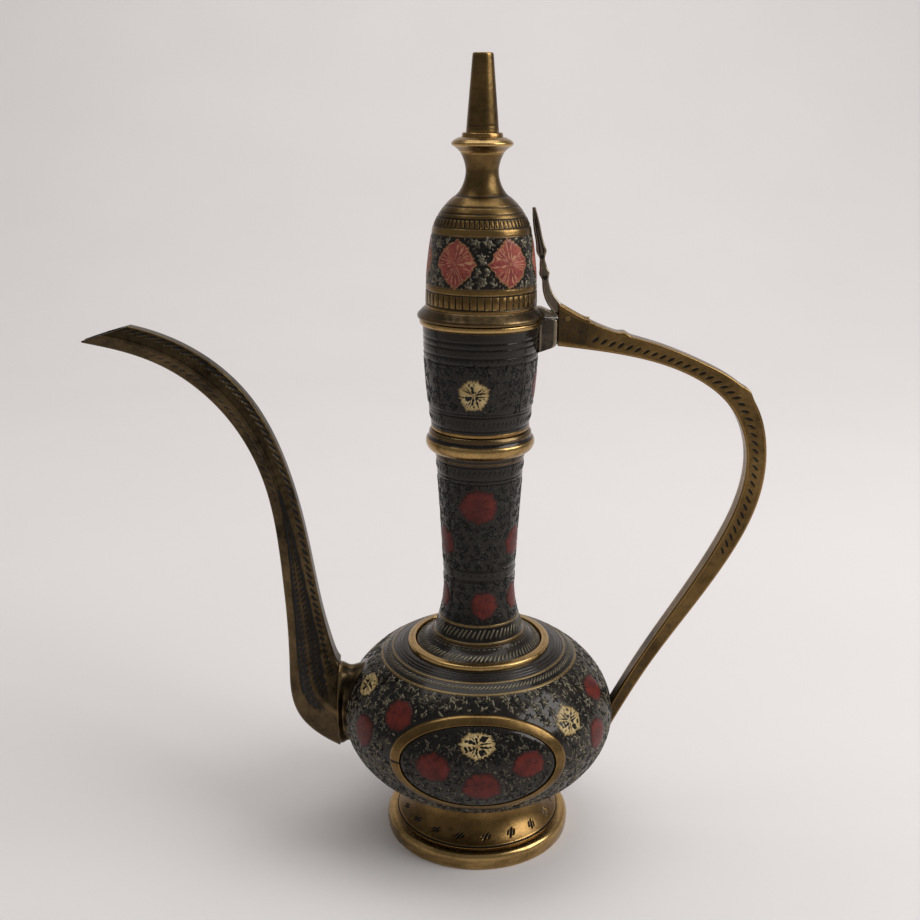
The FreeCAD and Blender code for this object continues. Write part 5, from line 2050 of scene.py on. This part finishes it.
@dataclass
class Handle:
    """Bow handle, forked at the hinge, with the lug that carries it."""

    # Place (x, z), heading in degrees and width along the bow
    stations: Rows = (
        (27.1, 199.5, 0.0, 15.0),
        (42.4, 194.5, -8.0, 8.6),
        (59.3, 190.4, -17.0, 6.6),
        (78.9, 182.9, -32.0, 6.4),
        (92.5, 173.0, -52.0, 8.2),
        (99.9, 154.0, -82.0, 7.3),
        (98.5, 136.0, -106.0, 7.1),
        (90.6, 116.1, -118.0, 6.7),
        (63.3, 70.5, -118.0, 4.8),
        (47.8, 41.0, -118.0, 4.4),
    )
    thick: float = 7.0  # thickness of the bow
    slot: float = 3.0  # width of the fork's slot
    slot_end: float = 36.8  # X of the slot's end
    slot_floor: float = 198.6  # height of the slot's floor
    # Place (x, z), height and reach of the swellings on the outer edge
    bumps: Rows = ((50.9, 197.4, 0.7, 1.6), (95.5, 175.9, 0.8, 2.2))
    lug_seat: float = 19.7  # X of the lug's face in the cup's wall

    def edges(self, run: Array) -> tuple[Array, Array]:
        """Upper and lower edge of the bow.

        Args:
            run: Lengths along it.

        Returns:
            Points (x, z) of the upper and of the lower edge.
        """
        table = np.array(self.stations)
        knots = chord_lengths(table[:, :2])
        reach = headed(np.radians(table[:, 2] + 90.0)) * table[:, 3:] / 2.0
        upper = spline(knots, table[:, :2] + reach, run)
        lower = spline(knots, table[:, :2] - reach, run)
        for x, z, tall, width in self.bumps:
            away = np.linalg.norm(upper - np.array([x, z]), axis=1)
            nearest = run[np.argmin(away)]
            upper = upper + unit(upper - lower) * (tall * bell(run - nearest, width))[:, None]
        return upper, lower

    def bow_skin(self) -> Skin:
        """Bow with slanted cuts, lowered to the slot's floor at the fork and ended in the globe's wall.

        Returns:
            The closed surface.
        """
        globe = Globe()
        knots = chord_lengths(np.array(self.stations)[:, :2])
        run = np.linspace(0.0, knots[-1], 700)
        upper, lower = self.edges(run)
        sink, middle = 0.7, np.array([0.0, globe.centre])
        half = np.array([node_box("globe_shell")[1][0] - sink, globe.tall - sink])
        outside = [np.linalg.norm((edge - middle) / half, axis=1) > 1.0 for edge in (lower, upper)]
        keep = outside[0] | outside[1] | (run < 0.5 * knots[-1])
        run, upper, lower = run[keep], upper[keep], lower[keep]
        in_slot = upper[:, 0] < self.slot_end
        share = np.clip((self.slot_floor - lower[:, 1]) / (upper[:, 1] - lower[:, 1]), 0.0, 1.0)
        share = np.where(in_slot, share, 1.0)[:, None]
        clipped = lower + share * (upper - lower)
        wide = np.linalg.norm(clipped - lower, axis=1)[:, None]
        fade = (smooth(11.0, 15.0, run) * smooth(knots[7] + 4.0, knots[7] - 1.0, run))[:, None]

        def cut(place: Array) -> Array:
            """Row of slanted cuts on both faces.

            Args:
                place: Places on the bar's section.

            Returns:
                Height over the plain face.
            """
            face = np.abs(place[None, :, 0]) > 0.99
            across = place[None, :, 1] * wide / 2.0 + 0.08 * wide
            strokes = slanted_strokes(run[:, None], across, 3.1, np.radians(54.0), (1.8, 0.5))
            return -0.4 * fade * face * strokes

        # Darker towards the hinge end, and painted shade that darkens the lower end of the bow.
        dirt_and_shade = (0.32 * smooth(20.0, 8.0, run) + 0.3 * smooth(knots[5], knots[9], run))[:, None]
        half = self.thick / 2.0 - 0.03
        return Bar(clipped, lower, (-half, half), 0.7, 28).skin(cut, dirt_and_shade)

    def cheek_skin(self, side: int) -> Skin:
        """One cheek of the fork: a plate as tall as the bow, just proud of its face.

        Args:
            side: Sign of its Y.

        Returns:
            The closed surface.
        """
        upper, lower = self.edges(np.linspace(0.0, 13.0, 40))
        keep = upper[:, 0] < self.slot_end + 1.6
        bounds = sorted((side * self.slot / 2.0, side * self.thick / 2.0))
        return Bar(upper[keep], lower[keep], (bounds[0], bounds[1]), 0.7).skin(None, 0.32)

    def lug_skin(self) -> Skin:
        """Lug: a rounded upright bar soldered to the cup's wall, with a foot that slants up to the fork.

        Returns:
            The closed surface.
        """
        low, high = node_box("handle_lug")
        rows, slant, rounding, bulge = 60, 2.0, 2.6, 1.8
        share = np.linspace(0.0, 1.0, rows)
        foot, top = low[2] - 0.7, high[2] - 0.05
        inner = foot + share * (top - foot)
        outer = foot + slant + share * (top - foot - slant)
        drop = np.clip(1.0 - (outer - outer[0]) / rounding, 0.0, 1.0)
        inset = bulge * (1.0 - np.sqrt(1.0 - drop**2)) + 0.5 * np.clip(outer - high[2] + 1.0, 0.0, 1.0) ** 2
        lower = np.stack([high[0] - 0.05 - inset, outer], axis=1)
        upper = np.stack([np.full(rows, self.lug_seat), inner], axis=1)
        return Bar(upper, lower, (low[1] + 0.3, high[1] - 0.3), 1.2).skin(None, 0.35)

    def build(self) -> None:
        """Builds bow, cheeks and lug, and dresses the hinge pin."""
        skins = [self.bow_skin(), self.cheek_skin(-1), self.cheek_skin(1)]
        make_piece("handle_skin", Skin.joined(skins), WORN, node="handle")
        make_piece("handle_lug_skin", self.lug_skin(), GREY_CAST, node="handle_lug")
        dress_node("hinge_pin", INNER)


@dataclass
class Lid:
    """Hinged lid: flange, enamelled dome with its waist, finial and thumb lever."""

    shoulder: Pair = (16.9, 233.2)  # radius and height at which the dome turns in
    throat: Pair = (8.6, 244.0)  # radius and height above the shoulder's round
    waist: Pair = (5.66, 252.0)  # radius and height of the narrowest place
    top_radius: float = 7.6  # radius under the finial collar
    roof: Pair = (6.5, 241.8)  # radius and height of the ceiling inside
    bore: float = 1.65  # radius of the stud's hole in the dome
    wall: float = 1.5  # thickness of the dome
    # Heights between which the grounds of the tick bands are sunk
    sunk: Sequence[Pair] = ((206.6, 211.9), (233.5, 237.0))
    # Heights between which gold lines stand proud
    raised: Sequence[Pair] = ((211.8, 213.8), (231.2, 233.4))
    # Heights and strengths of fine grooves
    grooves: Sequence[Pair] = ((238.2, 1.0), (240.4, 1.0), (243.6, 0.8))
    panel: Pair = (213.7, 231.3)  # heights between which the dome is lacquered
    scrolls: ScrollField = ScrollField(214.0, 230.9, 4.8, 8, Chisel(2.8, 1.7, 0.3, 0.75, 0.5, 0.3))
    rays: Chisel = Chisel(1.3, 0.7, 0.24, 0.7, 0.0, 0.3)  # how the rays round the lozenges are cut
    lozenges: int = 6  # number of enamel lozenges round the dome
    # Lozenge that the others follow, half a step before the first
    lozenge: Patch = Patch(1.2, 222.3, (8.3, 9.2), Motif.LOZENGE)
    # Height, number and half sizes of the pads of each tick band
    ticks: Sequence[tuple[float, int, Pair]] = ((209.25, 48, (1.08, 2.15)), (235.2, 60, (0.62, 1.4)))
    flange_bore: Pair = (18.3, 18.1)  # inner radius of the flange at its foot and at its top
    flange_top: float = 19.7  # outer radius of its top
    stud_bore: float = 1.7  # radius of the stud's hole in the finial
    stud_depth: float = 8.0  # reach of that hole into the spike
    collar_top: float = 7.7  # radius of the finial collar's top
    spike_top: float = 3.5  # radius of the spike's blunt end
    # Place (x, z) and thickness along tab and thumbpiece
    lever: Rows = (
        (28.6, 203.2, 4.0),
        (24.3, 208.2, 3.6),
        (22.5, 213.4, 2.5),
        (22.2, 215.6, 2.6),
        (21.95, 217.0, 3.6),
        (21.6, 218.7, 2.8),
        (21.3, 220.5, 2.3),
        (21.05, 222.5, 1.9),
        (20.85, 224.2, 3.3),
        (20.35, 226.7, 3.1),
        (19.3, 231.5, 2.5),
        (18.45, 236.2, 2.0),
        (17.85, 239.7, 1.1),
    )
    knuckle: float = 2.3  # radius of the knuckle round the pin
    # Points (x, z) of the upper side of the tab's lap on the flange
    lap_top: Rows = (
        (19.4, 205.2), (20.4, 205.6), (21.4, 205.4), (22.5, 204.9), (23.6, 204.4), (24.8, 203.7),
    )
    # Points (x, z) of its underside
    lap_foot: Rows = ((19.4, 203.2), (22.4, 202.6), (22.8, 202.1), (24.8, 202.1))

    def relief(self, angle: Array, height: Array) -> Array:
        """Sunk grounds of the two tick bands, raised gold lines beside them and fine grooves above.

        Args:
            angle: Angles round the axis.
            height: Heights.

        Returns:
            Height over the plain dome.
        """
        sunk, raised = (sum(plateau(*band, height) for band in bands) for bands in (self.sunk, self.raised))
        fine = sum(strength * bell(height - groove, 0.2) for groove, strength in self.grooves)
        return -0.22 * sunk + 0.1 * raised - 0.15 * fine + 0.0 * angle

    def build_dome(self, rng: Rng) -> None:
        """Builds the dome, its bands, scrolls and lozenges.

        Args:
            rng: Source of the differences.
        """
        low, high = node_box("lid_dome")
        base = high[0] - 0.12
        section = Section.of(
            Corner(base - self.wall, low[2], soft=0.3),
            Corner(base, low[2], soft=0.15, bow=0.6, step=0.22),
            Corner(*self.shoulder, soft=0.6, bow=1.4, step=0.25),
            Corner(*self.throat, soft=0.6, bow=-0.8, step=0.35),
            Corner(*self.waist, soft=0.3, bow=-0.4, step=0.35),
            Corner(self.top_radius, high[2]),
            Corner(self.bore, high[2], step=1.0),
            Corner(self.bore, self.roof[1], step=1.0),
            Corner(*self.roof, soft=0.5, step=1.5),
            Corner(self.shoulder[0] - self.wall, self.shoulder[1], soft=0.5, step=2.0),
        )
        make_piece("lid_dome_skin", lathe(section, 240, self.relief), WORN, body=Body.LID, node="lid_dome")
        ground = Ground.on(section, low[2], self.throat[1])
        make_piece("lid_panel", lathe(self.panel_section(ground), 240), BLACK, body=Body.LID)
        turns = (np.arange(self.lozenges) + 0.5) * 360.0 / self.lozenges
        patches = [replace(self.lozenge, degrees=self.lozenge.degrees + turn) for turn in turns]
        make_patches("lid", ground, patches, Body.LID)
        scrolls = self.scrolls.strokes(ground, rng).clear_of(ground, patches)
        rays = fringe(ground, patches, self.rays, rng)
        foot, top = ground.at(self.scrolls.low), ground.at(self.scrolls.high)
        rays = rays.kept((rays.station > foot) & (rays.station < top))
        skin = Strokes.joined([scrolls, rays]).skin(ground)
        make_piece("lid_scrolls", skin, SCROLL, body=Body.LID)
        ticks = Skin.joined([tick_pads(ground, *band) for band in self.ticks])
        make_piece("lid_tick_bands", ticks, WORN, body=Body.LID)

    def panel_section(self, ground: Ground) -> Section:
        """Thin lacquered layer between the gold lines.

        Args:
            ground: Outer face of the dome.

        Returns:
            Closed section of the layer.
        """
        heights = np.linspace(*self.panel, 60)
        radius = ground.girth(ground.at(heights))
        outer = np.stack([radius + 0.06, heights], axis=1)
        inner = np.stack([radius - 0.4, heights], axis=1)[::-1]
        return Section(np.concatenate([outer, inner]))

    def build_flange(self) -> None:
        """Builds the flange: a rounded edge below a plain cone."""
        low, high = node_box("lid_flange")
        flange = Section.of(
            Corner(self.flange_bore[0], low[2], step=0.8),
            Corner(high[0], low[2], soft=0.4, step=0.2),
            Corner(high[0], low[2] + 1.1, soft=0.5, step=0.25),
            Corner(self.flange_top, high[2], step=0.4),
            Corner(self.flange_bore[1], high[2]),
        )
        make_piece("lid_flange_skin", lathe(flange, 280), DARK_BAND, Body.LID, "lid_flange")

    def build_finial(self) -> None:
        """Builds collar, washer and spike of the finial."""
        bore = (self.stud_bore, 0.2, 1.0)
        low, high = node_box("finial_collar")
        tall = high[2] - low[2]
        collar = Section.tube(
            *bore,
            Corner(self.top_radius, low[2], bow=-0.4, step=0.2),
            Corner(high[0] - 0.3, low[2] + 0.45 * tall, soft=0.4, step=0.2),
            Corner(high[0] - 0.1, low[2] + 0.62 * tall, soft=0.35, step=0.2),
            Corner(high[0] - 1.1, high[2] - 0.9, soft=0.4, step=0.2),
            Corner(self.collar_top, high[2], soft=0.3),
        )
        make_piece("finial_collar_skin", lathe(collar, 160), BAND, Body.LID, "finial_collar")
        low, high = node_box("finial_washer")
        washer = Section.tube(
            *bore,
            Corner(high[0], low[2], soft=0.4, step=0.2),
            Corner(high[0] - 0.3, high[2], soft=0.5, step=0.4),
        )
        skin = lathe(washer, 140)
        make_piece("finial_washer_skin", skin, ANTIQUE, Body.LID, "finial_washer")
        low, high = node_box("finial_spike")
        core, floor = 0.3, low[2] + self.stud_depth
        spike = Section.of(
            Corner(self.stud_bore, low[2], step=1.0),
            Corner(high[0], low[2], soft=0.3, step=0.25),
            Corner(self.spike_top, high[2], soft=0.6, step=0.3),
            Corner(core, high[2] - 0.25, soft=0.1, step=0.4),
            Corner(core, floor + 0.4, soft=0.1, step=2.0),
            Corner(self.stud_bore, floor, step=1.0),
        )
        skin = lathe(spike, 140, groove_relief([low[2] + 2.2], 0.08, 0.25))
        make_piece("finial_spike_skin", skin, WORN, Body.LID, "finial_spike")

    def thumb_skin(self, sides: Pair) -> Skin:
        """Thumbpiece: a bar along a spline, ringed at its foot and shaped as a leaf with a ridge above.

        Args:
            sides: Y of its two faces.

        Returns:
            The closed surface.
        """
        table = np.array(self.lever)
        knots = chord_lengths(table[:, :2])
        run = np.linspace(0.0, knots[-1], 160)
        read = spline(knots, table, run)
        middle, height = read[:, :2], read[:, 1]
        heading = unit(np.gradient(middle, axis=0))
        across = np.stack([-heading[:, 1], heading[:, 0]], axis=1) * np.clip(read[:, 2:], 0.5, None) / 2.0
        depth = (smooth(22.4, 24.2, run) * smooth(knots[-1] - 1.0, knots[-1] - 4.0, run))[:, None]
        # Painted shade in the two narrow necks just below the knots.
        dirt_and_shade = (bell(height - 222.9, 0.55) + bell(height - 215.7, 0.5))[:, None]

        def groove(place: Array) -> Array:
            """Two grooves beside a ridge down the middle of the leaf."""
            pair = bell(np.abs(place[None, :, 1]) - 0.55, 0.16)
            return -0.35 * depth * pair * (np.abs(place[None, :, 0]) > 0.99)

        return Bar(middle + across, middle - across, sides, 0.55).skin(groove, dirt_and_shade)

    def lap_skin(self) -> Skin:
        """Lap of the tab, which is soldered on the flange.

        Returns:
            The closed surface.
        """
        reach = np.linspace(self.lap_top[0][0], self.lap_top[-1][0], 30)
        top, foot = (np.interp(reach, *np.transpose(line)) for line in (self.lap_top, self.lap_foot))
        return Bar(np.stack([reach, top], axis=1), np.stack([reach, foot], axis=1), (-2.1, 2.1), 0.8).skin()

    def build_lever(self) -> None:
        """Builds the lever: thumbpiece, knuckle, tab and the tab's lap on the flange."""
        low, high = node_box("thumb_lever")
        sides = (low[1] + 0.02, high[1] - 0.02)
        eye = (np.array(frame["joints"][0]["pos_m"]) / MM)[[0, 2]]
        turn = np.linspace(0.0, np.pi, 40)[1:-1]
        upper, lower = eye + self.knuckle * headed(turn), eye + self.knuckle * headed(-turn)
        knuckle = Bar(upper, lower, sides, 0.3).skin()
        start, end, foot, top = 22.7, 29.0, 202.0, 204.0
        reach = np.linspace(start, end, 30)
        swell = 0.35 * np.sin(np.pi * np.clip((reach - 22.6) / 5.0, 0.0, 1.0))
        upper = np.stack([reach, top + swell], axis=1)
        tab = Bar(upper, np.stack([reach, np.full(30, foot)], axis=1), sides, 0.5).skin()
        skin = Skin.joined([self.thumb_skin(sides), knuckle, tab, self.lap_skin()])
        make_piece("thumb_lever_skin", skin, GREY_CAST, Body.LID, "thumb_lever")

    def build(self, rng: Rng) -> None:
        """Builds the whole lid.

        Args:
            rng: Source of the differences.
        """
        self.build_flange()
        self.build_dome(rng)
        self.build_finial()
        self.build_lever()
        for node in ("lid_sleeve", "finial_stud", "finial_nut"):
            dress_node(node, INNER)


@dataclass
class Studio:
    """Pale paper sweep, soft light from the right and the camera."""

    camera_place: tuple[float, float, float] = (0.0, -0.42, 0.275)  # place of the camera in metres
    camera_tilt: float = 73.3  # tilt of its view from straight down, in degrees
    camera_roll: float = 0.45  # roll of its view, in degrees
    lens: float = 47.03  # focal length for a film of 36 mm
    shift: float = -0.0217  # sideways shift of the view

    def sweep(self) -> None:
        """Builds the floor, which curves up into the backdrop behind the pot."""
        width, front, bend, radius, top = 6.0, -3.0, 0.7, 1.2, 3.0
        turn = np.linspace(0.0, np.pi / 2.0, 40)
        y = np.concatenate([[front], bend + radius * np.sin(turn), [bend + radius]])
        z = np.concatenate([[0.0], radius * (1.0 - np.cos(turn)), [top]])
        x = np.array([-width / 2.0, width / 2.0])
        grid = np.stack(np.broadcast_arrays(x[None, :], y[:, None], z[:, None]), axis=-1).reshape(-1, 3)
        number = np.arange(len(grid)).reshape(-1, 2)
        faces = np.stack([number[:-1, 0], number[:-1, 1], number[1:, 1], number[1:, 0]], axis=1)
        mesh = bpy.data.meshes.new("studio_sweep")
        mesh.from_pydata(grid.tolist(), [], faces.tolist())
        mesh.polygons.foreach_set("use_smooth", np.ones(len(faces), bool))
        mesh.update()
        mesh.materials.append(PAPER.material())
        sweep = bpy.data.objects.new("studio_sweep", mesh)
        bpy.context.scene.collection.objects.link(sweep)

    def lamp(
        self, name: str, place: Sequence[float], target: Sequence[float], size: float, watts: float
    ) -> None:
        """Adds a soft square lamp.

        Args:
            name: Name of the lamp.
            place: Its place in metres.
            target: Place that it faces.
            size: Length of its sides in metres.
            watts: Its power.
        """
        light = bpy.data.lights.new(name, "AREA")
        light.size = size
        light.energy = watts
        lamp = bpy.data.objects.new(name, light)
        lamp.location = place
        aim = np.array(target) - np.array(place)
        tilt = np.arctan2(np.hypot(aim[0], aim[1]), -aim[2])
        lamp.rotation_euler = (float(tilt), 0.0, float(np.arctan2(-aim[0], aim[1])))
        bpy.context.scene.collection.objects.link(lamp)

    def build(self) -> None:
        """Builds sweep, lamps, sky and camera."""
        self.sweep()
        self.lamp("key_lamp", (1.1, -0.3, 0.9), (0.0, 0.0, 0.12), 0.9, 12.5)
        self.lamp("top_lamp", (0.0, 0.5, 1.6), (0.0, 1.4, 0.3), 1.6, 15.0)
        scene = bpy.context.scene
        world = bpy.data.worlds.new("studio_sky")
        world.use_nodes = True
        tree = world.node_tree
        sky = tree.nodes["Background"]
        sky.inputs["Color"].default_value = (1.0, 0.985, 0.97, 1.0)
        level = tree.nodes.new("ShaderNodeMapRange")
        level.inputs["To Min"].default_value, level.inputs["To Max"].default_value = 0.34, 0.22
        glossy = tree.nodes.new("ShaderNodeLightPath").outputs["Is Glossy Ray"]
        tree.links.new(glossy, level.inputs["Value"])
        tree.links.new(level.outputs["Result"], sky.inputs["Strength"])
        scene.world = world
        lens = bpy.data.cameras.new("photo_camera")
        lens.sensor_width, lens.lens, lens.shift_x = 36.0, self.lens, self.shift
        lens.clip_start = 0.01
        camera = bpy.data.objects.new("photo_camera", lens)
        camera.location = self.camera_place
        tilt = Matrix.Rotation(np.radians(self.camera_tilt), 3, "X")
        camera.rotation_euler = (tilt @ Matrix.Rotation(np.radians(self.camera_roll), 3, "Z")).to_euler()
        scene.collection.objects.link(camera)
        scene.camera = camera
        scene.view_settings.view_transform = "Standard"


def main() -> None:
    """Builds the pot from its foot to its lid, then the studio."""
    logging.basicConfig(level=logging.INFO, format="%(message)s")
    rng = np.random.default_rng(7)
    globe = Globe()
    Foot().build()
    globe.build(Medallion(globe, Face.FRONT), rng)
    for face in Face:
        Medallion(globe, face).build(rng)
    Shoulder().build(rng)
    Neck().build(rng)
    Cup().build(rng)
    Spout().build()
    Handle().build()
    Lid().build(rng)
    Studio().build()


if __name__ == "__main__":
    main()
